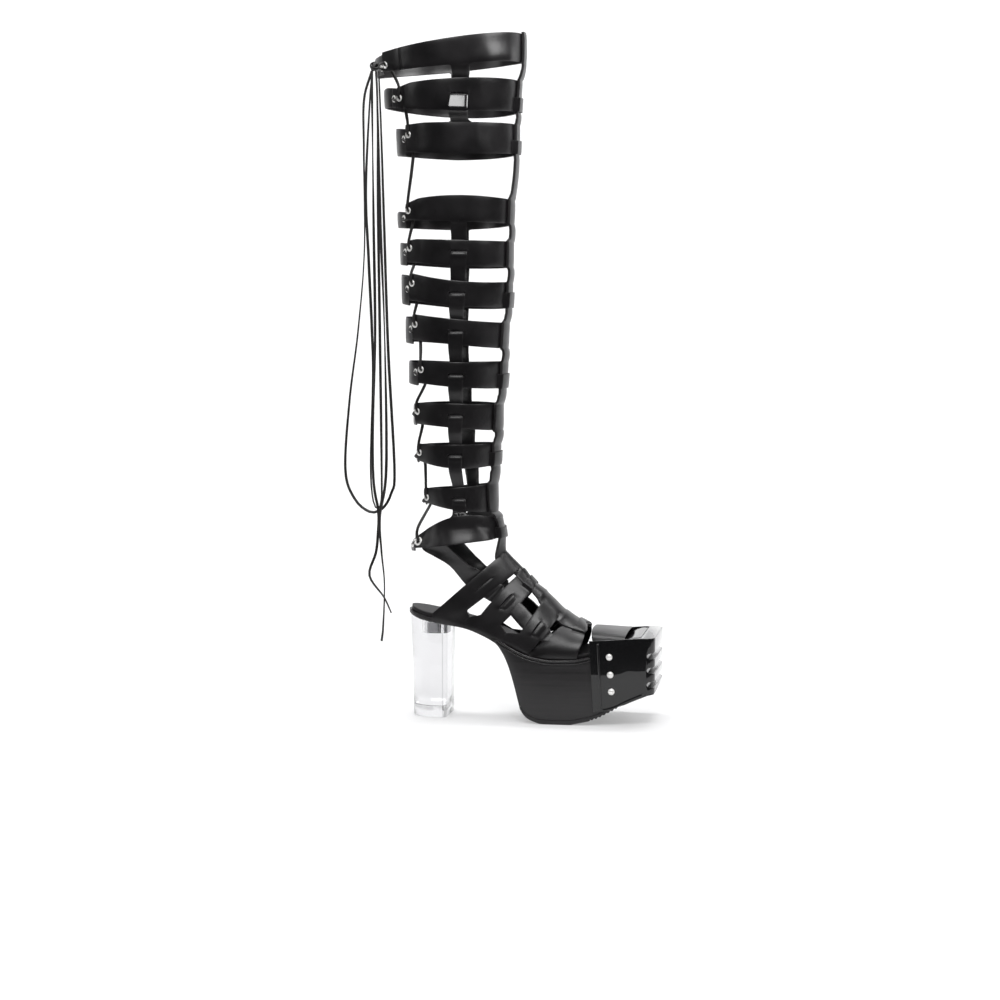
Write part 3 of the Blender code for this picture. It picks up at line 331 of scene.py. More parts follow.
# %% [markdown]
# ## Two ways to make a mesh
# Straps are sheets: a grid of points on the outer face, given a wall and softly rounded edges by
# modifiers. Laces, beads and welts are sweeps: a small outline carried along a path. Each result is
# baked into a plain mesh, so the piece sits at the origin with its place in its points.

# %% A piece from points
def new_piece(name, points, faces, materials=(), closed=False):
    """An object from points in millimetres. The faces of a closed body are turned outwards."""
    mesh = bpy.data.meshes.new(name)
    mesh.from_pydata([Vector(point) * MM for point in points], [], faces)
    if closed:
        mesh.validate()
        work = bmesh.new()
        work.from_mesh(mesh)
        bmesh.ops.recalc_face_normals(work, faces=work.faces[:])
        work.to_mesh(mesh)
        work.free()
    mesh.shade_smooth()
    return new_object(name, mesh, materials)


def removed(piece):
    """Deletes a piece that has done its work, with its mesh."""
    mesh = piece.data
    bpy.data.objects.remove(piece)
    bpy.data.meshes.remove(mesh)


# %% Baking, cutting and rounding
def baked(piece):
    """The piece with its modifiers turned into plain mesh."""
    bpy.context.view_layer.update()
    graph = bpy.context.evaluated_depsgraph_get()
    mesh = bpy.data.meshes.new_from_object(piece.evaluated_get(graph))
    piece.modifiers.clear()
    old = piece.data
    piece.data = mesh
    bpy.data.meshes.remove(old)
    mesh.name = piece.name
    mesh.shade_smooth()
    return piece


def cut(piece, *cutters, rounding=None):
    """The piece after each (cutter, operation) in turn, with its edges rounded last if asked."""
    for cutter, operation in cutters:
        modifier = piece.modifiers.new("cut", "BOOLEAN")
        modifier.operation = operation
        modifier.solver = "EXACT"
        modifier.object = cutter
    if rounding:
        add_round(piece, *rounding)
    baked(piece)
    for cutter, _ in cutters:
        removed(cutter)
    return piece


def add_round(piece, width, segments=2, angle=40.0):
    """Rounds every edge that is sharper than the angle."""
    bevel = piece.modifiers.new("soft_edges", "BEVEL")
    bevel.width = width
    bevel.segments = segments
    bevel.limit_method = "ANGLE"
    bevel.angle_limit = math.radians(angle)


# %% Sheets
WALL, WALL_EDGE = 1.6 * MM, 0.35 * MM  # a strap's thickness, and how far its edges are rounded


def make_sheet(name, points, faces, wall=WALL, edge=WALL_EDGE):
    """A leather wall from the points of its outer face, in millimetres."""
    piece = new_piece(name, points, faces, (strap_leather, cut_edge))
    solid = piece.modifiers.new("wall", "SOLIDIFY")
    solid.thickness = wall
    solid.offset = -1.0
    solid.use_even_offset = True
    solid.material_offset_rim = 1
    add_round(piece, edge)
    return baked(piece)


def strip(first, second):
    """Faces between two rows of point numbers."""
    return [(first[k], second[k], second[k + 1], first[k + 1]) for k in range(len(first) - 1)]


def grid_faces(points, wide):
    """Faces between neighbouring rows of points, with so many points in a row."""
    rows = [range(row, row + wide) for row in range(0, len(points), wide)]
    return [face for first, second in zip(rows, rows[1:]) for face in strip(first, second)]


def wound(points, faces, outward_at):
    """The faces, each wound so that it faces the way that is outwards at its middle."""
    turned = []
    for face in faces:
        corners = [points[k] for k in face]
        normal = Vector()
        for here, there in zip(corners, corners[1:] + corners[:1]):
            normal += here.cross(there)
        outward = outward_at(sum(corners, Vector()) / len(corners))
        turned.append(tuple(reversed(face)) if normal.dot(outward) < 0 else face)
    return turned


# %% What every finished piece says
def finish_piece(piece, slot, *nodes):
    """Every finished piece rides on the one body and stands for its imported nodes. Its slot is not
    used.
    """
    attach(piece, "root")
    if nodes:
        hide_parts(*nodes)
    print(f"{piece.name}: {len(piece.data.polygons)} faces")
    return piece


# %% Sweeps
def spline(before, start, stop, after, part):
    """A smooth way from start to stop that heads on from before and towards after."""
    bend = 2 * before - 5 * start + 4 * stop - after
    twist = 3 * start - before - 3 * stop + after
    return start + ((stop - before) * part + bend * part**2 + twist * part**3) / 2


def smooth_path(places, spacing):
    """Points on one smooth curve through the given places, about a spacing apart."""
    places = [Vector(place) for place in places]
    padded = [2 * places[0] - places[1], *places, 2 * places[-1] - places[-2]]
    smooth = []
    for before, start, stop, after in zip(padded, padded[1:], padded[2:], padded[3:]):
        steps = max(1, math.ceil((stop - start).length / spacing))
        smooth += [spline(before, start, stop, after, step / steps) for step in range(steps)]
    return [*smooth, places[-1]]


def circle(count):
    """So many angles, evenly spread round a circle."""
    return [2 * math.pi * k / count for k in range(count)]


def oval(wide, thick, sides):
    """An outline with flat faces and round edges."""
    def squared(size, value):
        return size / 2 * math.copysign(abs(value) ** 0.7, value)

    return [(squared(wide, math.cos(a)), squared(thick, math.sin(a))) for a in circle(sides)]


def make_sweep(
    name, path, outline, material, turn=lambda part: 0.0, start_side=(0, 1, 0), closed=False, axis=None
):
    """Carries an outline along a path, turned by some degrees at each part of the way.

    With an axis, the outline's wide side keeps facing away from an upright line there.
    """
    count, sides = len(path), len(outline)
    side = Vector(start_side)
    points = []
    for k, place in enumerate(path):
        after = path[(k + 1) % count] if closed or k + 1 < count else place
        before = path[k - 1] if closed or k else place
        along = (after - before).normalized()
        if axis:
            outward = Vector((place.x - axis[0], place.y - axis[1], 0)).normalized()
            side = side + along.cross(outward) * 0.8
        side = (side - along * side.dot(along)).normalized()
        angle = math.radians(turn(k / max(1, count - 1)))
        across = side * math.cos(angle) + along.cross(side) * math.sin(angle)
        up = along.cross(across)
        points += [place + across * x + up * y for x, y in outline]
    faces = []
    for k in range(count if closed else count - 1):
        here, there = k * sides, (k + 1) % count * sides
        for j in range(sides):
            after = (j + 1) % sides
            faces.append((here + j, here + after, there + after, there + j))
    if not closed:
        faces.append(tuple(reversed(range(sides))))
        faces.append(tuple(range((count - 1) * sides, count * sides)))
    return new_piece(name, points, faces, (material,), closed=True)


# %% [markdown]
# ## The hanging lace
# One leather lace closes the whole shaft. What is left of it hangs from a knot at the top: two long
# loops of a bow and two ends. A flat thong turns as it hangs, so its width seems to change on its way.

# %% The lace's measures and routes
LACE_WIDE, LACE_THICK = 3.0, 1.5
KNOT_CENTRE = Vector((-50.0, -61.0, 674.5))
LOOP_1_ROUTE = (
    (-53.8, -57.8, 670.0), (-62.0, -58.0, 641.0), (-62.0, -60.0, 590.0), (-62.0, -60.0, 490.0),
    (-69.0, -60.0, 408.0), (-78.5, -60.0, 336.0), (-83.5, -60.0, 264.0), (-74.0, -60.0, 234.0),
    (-58.0, -60.0, 220.5), (-44.5, -60.0, 224.0), (-35.0, -60.0, 240.0), (-31.5, -60.0, 266.0),
    (-37.5, -60.0, 387.0), (-41.0, -60.0, 508.0), (-43.5, -60.0, 600.0), (-46.4, -58.1, 669.8),
)
LOOP_2_ROUTE = (
    (-52.2, -61.6, 669.2), (-54.5, -64.0, 640.0), (-59.0, -64.5, 550.0), (-56.5, -64.5, 480.0),
    (-53.5, -64.5, 408.0), (-52.5, -64.5, 357.0), (-55.5, -64.5, 268.0), (-53.0, -64.5, 232.0),
    (-48.0, -64.5, 224.5), (-44.5, -64.5, 233.0), (-44.0, -64.5, 266.0), (-45.0, -64.5, 388.0),
    (-46.5, -64.5, 540.0), (-46.5, -64.0, 640.0), (-48.0, -61.6, 669.2),
)
END_1_ROUTE = (
    (-51.9, -65.3, 669.8), (-51.0, -69.0, 640.0), (-50.0, -69.5, 520.0), (-49.0, -69.5, 400.0),
    (-52.0, -69.5, 267.0), (-46.5, -69.5, 222.0), (-47.0, -69.5, 200.0), (-49.5, -69.0, 179.0),
    (-56.5, -68.5, 155.0), (-41.5, -68.0, 133.0), (-33.7, -68.0, 116.5),
)
END_2_ROUTE = (
    (-48.1, -65.5, 669.8), (-45.0, -72.0, 640.0), (-42.0, -74.0, 520.0), (-38.0, -74.0, 400.0),
    (-37.0, -74.0, 267.0), (-44.0, -74.0, 217.0), (-42.5, -74.0, 182.0), (-39.5, -74.0, 148.0),
    (-41.0, -74.0, 104.0), (-42.8, -74.0, 88.0),
)


# %% The knot and the cords
def ring_path(centre, across, along, wide, long, count=28):
    """A closed oval path round a centre."""
    across, along = Vector(across).normalized(), Vector(along).normalized()
    return [centre + across * wide * math.cos(a) + along * long * math.sin(a) for a in circle(count)]


def joined(name, pieces):
    """Several pieces made one mesh."""
    work = bmesh.new()
    materials = []
    for piece in pieces:
        shift = len(materials)
        materials += list(piece.data.materials)
        start = len(work.faces)
        work.from_mesh(piece.data)
        work.faces.ensure_lookup_table()
        for face in work.faces[start:]:
            face.material_index += shift
    mesh = bpy.data.meshes.new(name)
    work.to_mesh(mesh)
    work.free()
    for piece in pieces:
        removed(piece)
    mesh.shade_smooth()
    return new_object(name, mesh, materials)


lace_outline = oval(LACE_WIDE, LACE_THICK, 12)
wraps = []
WRAPS = (
    ((0.0, 0.0, 0.6), (1, 0.25, 0), (0, 0.3, 1), 4.3, 3.6),
    ((0.2, -1.6, 0.2), (1, 0.1, -0.35), (0.1, 0.9, 0.8), 4.2, 3.7),
    ((-0.3, 1.8, -0.2), (0.9, -0.3, 0.4), (0.1, -0.8, 0.9), 4.2, 3.5),
    ((0.0, 0.2, 0.3), (0, 1, 0.2), (0.2, 0, 1), 4.6, 3.2),
)
for number, (shift, across, along, wide, long) in enumerate(WRAPS, 1):
    path = ring_path(KNOT_CENTRE + Vector(shift), across, along, wide, long)
    side = Vector(across).cross(Vector(along))
    name = f"wrap_{number}"
    wraps.append(make_sweep(name, path, lace_outline, lace_leather, start_side=side, closed=True))
finish_piece(joined("bow_knot", wraps), "lace_leather", "lace_knot")

CORDS = (
    ("bow_loop_long", "lace_loop_1", LOOP_1_ROUTE, 0.958, "object", 25.0, 250.0),
    ("bow_loop_narrow", "lace_loop_2", LOOP_2_ROUTE, 0.905, "object", 70.0, -330.0),
    ("lace_tail_short", "lace_end_1", END_1_ROUTE, 0.571, "bare", 10.0, 420.0),
    ("lace_tail_long", "lace_end_2", END_2_ROUTE, 0.585, "bare", 80.0, -400.0),
)
for name, node, route, length, far_end, first_turn, more_turn in CORDS:
    path = smooth_path(route, 6.0)
    measured = sum((b - a).length for a, b in zip(path, path[1:])) * MM
    piece = make_sweep(
        name, path, lace_outline, lace_leather, lambda part: first_turn + more_turn * part, (1, 0, 0)
    )
    finish_piece(piece, "lace_leather", node)
    print(f"{name}: {measured:.3f} m of lace")

# %% [markdown]
# ## The leg as a stack of cones
# The bands are the main form. Each is a slice of a cone with an oval section: its own middle, depth and
# edge heights, read from a table. A turn is 0 degrees at the front, 90 on the outer side and 180 at the
# back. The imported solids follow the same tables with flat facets; here the same formula is sampled
# finely, and a little unevenness is added so that the leather's shine breaks as it does on a real shaft.

# %% Tables of the shaft, in millimetres and degrees
ROUNDNESS_ROWS = ((180, 0.84), (230, 0.90), (300, 0.92), (400, 0.94), (520, 0.95), (700, 0.97))
BAND_COLUMNS = (
    "top_side", "top_front", "top_back", "top_middle", "top_half",
    "low_side", "low_front", "low_back", "low_middle", "low_half",
)
BAND_ROWS = (
    (698.6, 710.5, 686.7, 14.2, 78.1, 673.0, 681.0, 669.0, 15.7, 76.5),
    (660.7, 663.0, 653.5, 17.5, 70.7, 630.0, 631.0, 636.0, 17.0, 69.2),
    (618.2, 618.6, 618.3, 22.5, 63.2, 587.0, 588.0, 591.0, 23.0, 62.2),
    (544.7, 541.8, 535.9, 20.4, 60.5, 518.9, 516.8, 520.8, 20.5, 59.6),
    (500.0, 498.7, 501.5, 21.7, 58.2, 474.3, 472.3, 478.7, 21.3, 58.0),
    (459.4, 456.9, 470.6, 21.7, 57.1, 433.6, 430.4, 440.7, 21.2, 56.4),
    (419.9, 415.0, 425.9, 22.1, 53.4, 393.8, 388.2, 399.1, 21.7, 52.8),
    (374.9, 375.0, 377.8, 23.0, 51.0, 349.7, 346.7, 354.7, 22.0, 50.0),
    (332.1, 330.2, 331.7, 23.0, 46.2, 307.3, 303.0, 310.4, 22.7, 46.0),
    (289.3, 289.5, 289.2, 23.1, 43.6, 264.9, 266.8, 273.3, 22.3, 42.8),
    (244.1, 247.8, 242.8, 25.5, 38.1, 220.9, 217.3, 227.9, 26.0, 37.5),
    (214.1, 211.3, 190.2, 25.3, 42.5, 186.1, 190.7, 177.9, 27.5, 45.2),
)
# Where the outer eyelet is, how far the inner end hangs lower, the heights of the slits for the spine
# and for the side straps, how much the top edge is cut away over which run towards the end, and
# how much higher the band runs on the inner side.
FASTENING_COLUMNS = ("eyelet_turn", "eyelet_height", "sag", "keeper", "slit", "cut", "run", "rise")
FASTENING_ROWS = (
    (136.8, 676.5, 2.0, None, None, 0.0, 6.0, 8.5),
    (128.2, 643.0, 0.0, 645.0, 646.2, 3.0, 20.0, 0.0),
    (130.6, 606.6, 4.0, 601.5, None, 1.6, 26.0, 2.0),
    (131.0, 529.8, 8.0, None, None, 3.2, 19.0, 0.0),
    (133.1, 491.7, 4.0, None, 488.5, 2.0, 14.0, 0.0),
    (131.2, 455.7, 6.0, 445.5, 446.0, 0.5, 5.0, 0.0),
    (131.6, 413.4, 5.0, None, 407.0, 0.5, 5.0, 0.0),
    (126.0, 366.9, 3.0, 361.5, 362.0, 0.5, 5.0, 0.0),
    (141.3, 322.9, 2.0, None, 320.0, 0.5, 5.0, 0.0),
    (142.8, 279.8, 3.0, 280.5, 278.5, 0.5, 5.0, 0.0),
    (143.7, 232.7, 3.0, None, 233.0, 0.5, 5.0, 0.0),
    (133.6, 187.0, 3.0, 201.5, None, 3.0, 12.0, 0.0),
)
SIDE_STRAP_COLUMNS = ("height", "outer_front", "outer_back", "inner_front", "inner_back")
SIDE_STRAP_ROWS = (
    (200, 70.0, 92.0, -60.0, -84.0),
    (250, 73.0, 92.0, -66.0, -88.0),
    (300, 74.0, 92.0, -75.0, -97.0),
    (342, 72.0, 90.0, -81.0, -101.0),
    (385, 73.0, 89.0, -86.0, -104.0),
    (467, 69.0, 85.0, -86.0, -104.0),
    (545, 67.0, 83.5, -86.0, -101.0),
    (622, 67.5, 83.5, -88.0, -103.0),
    (665, 64.0, 78.5, -86.0, -100.0),
)
SPINE_COLUMNS = ("height", "half_width")
SPINE_ROWS = (
    (190, 16.0), (214, 16.5), (240, 19.0), (270, 19.0), (350, 16.5), (440, 14.0), (560, 11.0),
    (640, 10.0), (710, 6.5),
)
FLUSH_BANDS = (4, 5, 7, 9, 11)  # the spine is cut from one piece with these
BANDS = range(1, 13)
EYELET_INSET, ANKLE_INSET, BAND_OPENING = 4.0, 9.5, 2.0
FLAT_END = 15.0  # towards its ends a band runs straight instead of on round the oval
FACING_AWAY = {1: 27.0, 2: 8.5}  # where a facing behind the leather shows as a line
STRAP_TURN = 80.0  # about where the side straps are
STRAP_LIFT = 1.75  # outer face of a strap that lies on a band, and minus this behind it
SPINE_LIFT = 3.2  # outer face of the spine, which is two layers thick
SPINE_WALL, SPINE_EDGE = 2.8 * MM, 0.6 * MM
KEEPER_LIFT = 5.0  # outer face of a band that passes over the spine
print("bands:", len(BAND_ROWS), "from", BAND_ROWS[-1][5], "to", BAND_ROWS[0][1], "mm high")


# %% Reading a table
def at_row(rows, columns, where, wanted):
    """The value of one column, read off between two rows of a table whose first column rises."""
    column = columns.index(wanted)
    if where <= rows[0][0]:
        return rows[0][column]
    for low, high in zip(rows, rows[1:]):
        if where <= high[0]:
            part = (where - low[0]) / (high[0] - low[0])
            return low[column] + part * (high[column] - low[column])
    return rows[-1][column]


def curve_at(rows, x, column=1):
    """A smooth curve through one column of a table, which never swings past its rows."""
    if x <= rows[0][0] or x >= rows[-1][0]:
        return rows[0][column] if x <= rows[0][0] else rows[-1][column]
    k = max(index for index, row in enumerate(rows) if row[0] <= x)

    def slope(index):
        if not 0 <= index < len(rows) - 1:
            return None
        return (rows[index + 1][column] - rows[index][column]) / (rows[index + 1][0] - rows[index][0])

    def tangent(index):
        before, after = slope(index - 1), slope(index)
        if before is None or after is None:
            return after if before is None else before
        return 0.0 if before * after <= 0 else 2 * before * after / (before + after)

    wide = rows[k + 1][0] - rows[k][0]
    t = (x - rows[k][0]) / wide
    value = rows[k][column] * (2 * t**3 - 3 * t**2 + 1) + rows[k + 1][column] * (3 * t**2 - 2 * t**3)
    return value + wide * (tangent(k) * (t**3 - 2 * t**2 + t) + tangent(k + 1) * (t**3 - t**2))


def ease(value):
    """0 to 1 with level ends."""
    value = min(1.0, max(0.0, value))
    return value * value * (3 - 2 * value)


strap_front = at_row(SIDE_STRAP_ROWS, SIDE_STRAP_COLUMNS, 275, "outer_front")
print("a side strap's front edge at 275 mm:", strap_front, "degrees")


# %% Points on a band
def band_value(number, wanted):
    """A column of either of the bands' tables."""
    if wanted in FASTENING_COLUMNS:
        return FASTENING_ROWS[number - 1][FASTENING_COLUMNS.index(wanted)]
    return BAND_ROWS[number - 1][BAND_COLUMNS.index(wanted)]


def band_size(number, height, wanted):
    """A band's middle or half depth at a height, along its cone."""
    low, top = band_value(number, "low_side"), band_value(number, "top_side")
    part = (height - low) / (top - low)
    start = band_value(number, "low_" + wanted)
    return start + part * (band_value(number, "top_" + wanted) - start)


def band_point(number, turn, height, lift=0.0):
    """A point on a band, lifted off it by some millimetres."""
    deep = band_size(number, height, "half") + lift
    wide = deep - lift
    wide = wide * at_row(ROUNDNESS_ROWS, ("height", "ratio"), height, "ratio") + lift
    outer, inner = band_ends(number)
    flat = degrees_for(FLAT_END, number, height)
    held = min(max(turn, inner + flat * 0.4), outer - flat)
    angle, ahead = math.radians(held), math.radians(turn - held)
    x = math.cos(angle) - ahead * math.sin(angle)
    y = math.sin(angle) + ahead * math.cos(angle)
    return Vector((band_size(number, height, "middle") + deep * x, -wide * y, height))


def degrees_for(width, number, height):
    """How many degrees of turn a width takes up on a band."""
    return math.degrees(width / band_size(number, height, "half"))


def band_ends(number):
    """The turns of a band's outer and inner ends."""
    height = band_value(number, "eyelet_height")
    inset = ANKLE_INSET if number == 12 else EYELET_INSET
    outer = band_value(number, "eyelet_turn") + degrees_for(inset, number, height)
    return outer, outer + degrees_for(BAND_OPENING, number, height) - 360


def from_end(number, turn):
    """Millimetres round the band from a turn to its nearer end."""
    outer, inner = band_ends(number)
    degrees = min(outer - turn, turn - inner)
    return math.radians(degrees) * band_size(number, band_value(number, "eyelet_height"), "half")


print("the top band ends at turns", [round(turn, 1) for turn in band_ends(1)])

# %% A band's edges
CORNER = 1.0  # radius of a band's rounded corners
LEG_AXIS = 22.0  # how far forward the middle of the leg is


def edge_height(number, edge, turn):
    """The height of a band's top or low edge at a turn, with its end cut and rounded."""
    side = band_value(number, edge + "_side")
    front = band_value(number, edge + "_front")
    back = band_value(number, edge + "_back")
    lean = math.cos(math.radians(turn))
    level = side + (front - back) / 2 * lean + ((front + back) / 2 - side) * lean * lean
    level -= band_value(number, "sag") * min(1.0, max(0.0, -turn / 100))
    level += band_value(number, "rise") * max(0.0, -math.sin(math.radians(turn)))
    end = max(0.0, from_end(number, turn))
    run = band_value(number, "run")
    if edge == "top" and end < run:
        level -= band_value(number, "cut") * (1 - end / run) ** 1.2
    if end < CORNER:
        inset = CORNER - math.sqrt(CORNER**2 - (CORNER - end) ** 2)
        level += inset if edge == "low" else -inset
    return level


print("the calf band is", round(edge_height(4, "top", 90) - edge_height(4, "low", 90), 1), "mm wide")


# %% Straps and the way along the leg
def spine_half(height):
    """Half the spine's width at a height."""
    return at_row(SPINE_ROWS, SPINE_COLUMNS, height, "half_width")


def strap_turns(side, height):
    """The turns of a side strap's edges, from its outer end's side to its inner end's side."""
    front = at_row(SIDE_STRAP_ROWS, SIDE_STRAP_COLUMNS, height, side + "_front")
    back = at_row(SIDE_STRAP_ROWS, SIDE_STRAP_COLUMNS, height, side + "_back")
    return (back, front) if side == "outer" else (front, back)


def leg_point(turn, height, lift):
    """A point on the shaft anywhere: on a band, or on the straight way across a gap."""
    for number in BANDS:
        top = edge_height(number, "top", turn)
        if height > top:
            if number == 1:
                break
            low = edge_height(number - 1, "low", turn)
            above = band_point(number - 1, turn, low, lift)
            return above.lerp(band_point(number, turn, top, lift), (low - height) / (low - top))
        if height >= edge_height(number, "low", turn):
            break
    return band_point(number, turn, height, lift + unevenness(number, turn, height))


def smooth_leg_point(turn, height, lift, spread=5.0):
    """The same, averaged over a short way up and down, so that a strap bends instead of folding."""
    total = Vector()
    for step in (-1.0, -0.5, 0.0, 0.5, 1.0):
        total += leg_point(turn, height + step * spread, lift)
    total /= 5
    total.z = height
    return total


# %% [markdown]
# A band gets its unevenness from three things: slow waves, creases where the leather bends
# at the slits and behind the ankle, and a light roll of both edges towards the leg. Each crease is a
# soft trough or ridge given by its place, direction, length and depth.

# %% Waves and creases
EDGE_ROLL, EDGE_ROLL_WIDE = 0.5, 1.6
# The low half of the ankle band curls out, everywhere but at the front.
CURL, CURL_HEIGHT, CURL_TALL, CURL_TURN = 6.0, 204.0, 17.0, 20
# Band, turn, height, slant, length, width and depth of each crease.
CREASE_ROWS = (
    (1, 104.0, 684.0, 72.0, 9.0, 2.6, -0.5), (1, 96.0, 690.0, 80.0, 8.0, 3.2, 0.35),
    (1, 39.0, 682.0, 0.0, 24.0, 14.0, 4.0), (2, 100.0, 641.0, 65.0, 8.0, 2.4, -0.45),
    (2, 54.0, 651.0, 78.0, 10.0, 3.0, 0.45), (3, 96.0, 603.0, 80.0, 12.0, 3.4, -0.4),
    (3, 60.0, 606.0, 86.0, 12.0, 3.0, 0.4), (4, 98.0, 531.0, 70.0, 9.0, 2.6, 0.45),
    (5, 99.0, 486.0, 74.0, 8.0, 2.4, -0.45), (6, 101.0, 449.0, 66.0, 9.0, 2.6, -0.4),
    (7, 96.0, 405.0, 82.0, 9.0, 2.6, 0.4), (8, 98.0, 361.0, 70.0, 9.0, 2.4, -0.4),
    (9, 104.0, 321.0, 76.0, 9.0, 2.4, -0.45), (10, 106.0, 280.0, 70.0, 8.0, 2.2, -0.45),
    (11, 58.0, 232.0, 62.0, 9.0, 2.6, -0.5), (11, 108.0, 234.0, 70.0, 9.0, 2.4, 0.45),
    (12, 46.0, 202.0, 40.0, 12.0, 3.6, -0.3), (12, 58.0, 202.0, 35.0, 12.0, 3.4, 0.35),
    (12, 104.0, 196.0, 62.0, 10.0, 3.0, -0.6),
)


def waves(place, *layers):
    """How far slow waves move the surface: each layer is (height, size, shift)."""
    total = 0.0
    for high, size, shift in layers:
        total += high * noise.noise(place / size + Vector(shift))
    return total


def crease(along, across, long, wide, depth):
    """A soft trough or ridge: how far the surface moves at a place along and across it."""
    return depth * math.exp(-((along / long) ** 4)) * math.exp(-((across / wide) ** 2))


def unevenness(number, turn, height):
    """How far the leather of a band stands out from its cone."""
    shifts = (0, 0, 7.0 * number), (3.1, 0, number)
    total = waves(band_point(number, turn, height), (0.55, 34.0, shifts[0]), (0.22, 11.0, shifts[1]))
    half = band_size(number, height, "half")
    for band, at, level, slant, long, wide, depth in CREASE_ROWS:
        if band != number or abs(turn - at) > 25:
            continue
        away, up = math.radians(turn - at) * half, height - level
        lean = math.radians(slant)
        along = away * math.cos(lean) + up * math.sin(lean)
        total += crease(along, up * math.cos(lean) - away * math.sin(lean), long, wide, depth)
    top, low = edge_height(number, "top", turn), edge_height(number, "low", turn)
    rim = min(top - height, height - low)
    total -= EDGE_ROLL * math.exp(-max(0.0, rim) / EDGE_ROLL_WIDE)
    if number in FACING_AWAY:
        total -= 0.30 * math.exp(-(((from_end(number, turn) - FACING_AWAY[number]) / 0.55) ** 2))
    if number == 12 and abs(turn) > CURL_TURN:
        low_part = max(0.0, (CURL_HEIGHT - height) / CURL_TALL)
        total += CURL * min(1.3, low_part) ** 1.3 * ease((abs(turn) - CURL_TURN) / 25)
    return total


# %% [markdown]
# A strap passes a band through a slit, so a band is a grid with a split line. Away from the slits the
# two sides of the line share their points. At a strap's slit they open as a lens; at a keeper the lower
# side rises over the spine. Columns stand closer where an edge, a slit or a step needs them.

# %% Where a band's columns and its split line run
ACROSS = (0.0, 0.07, 0.2, 0.35, 0.5, 0.65, 0.8, 0.93, 1.0)  # columns across a strap
FILLET = 3.2  # radius of the corner where a strap grows out of a band
SLIT_HALF, SLIT_LONGER = 1.7, 1.3  # half a slit's opening, and how far each end passes the strap
KEEPER_REACH = 3.6  # the lower side starts to rise this far beyond the spine's edge
HOLD = 0.8  # the rows this far from an edge hold its shape


def split_part(number, turn):
    """How far up a band its split line runs at a turn."""
    keeper, slit = band_value(number, "keeper"), band_value(number, "slit")
    marks = [(-220.0, 0.5)]
    for at, height in ((-85.0, slit), (-22.0, keeper), (22.0, keeper), (80.0, slit)):
        low, top = edge_height(number, "low", at), edge_height(number, "top", at)
        marks.append((at, 0.5 if height is None else (height - low) / (top - low)))
    marks.append((220.0, 0.5))
    return at_row(marks, ("turn", "part"), turn, "part")


def spaced(marks, step):
    """The marks, in their order, with more between them wherever they are too far apart."""
    full = [marks[0]]
    for mark in marks[1:]:
        start = full[-1]
        steps = math.ceil(abs(mark - start) / step)
        full += [start + (mark - start) * k / steps for k in range(1, steps + 1)]
    return full


def between(start, stop, values):
    """Places on the way from start to stop, at each part of the way."""
    return [start + (stop - start) * value for value in values]


def lens(part):
    """How far a slit is open at a part of its length: 0 at both ends and 1 in the middle."""
    return (1 - (2 * part - 1) ** 2) ** 0.35


print("the top band's split line runs", round(split_part(1, 0.0), 2), "of the way up at the front")


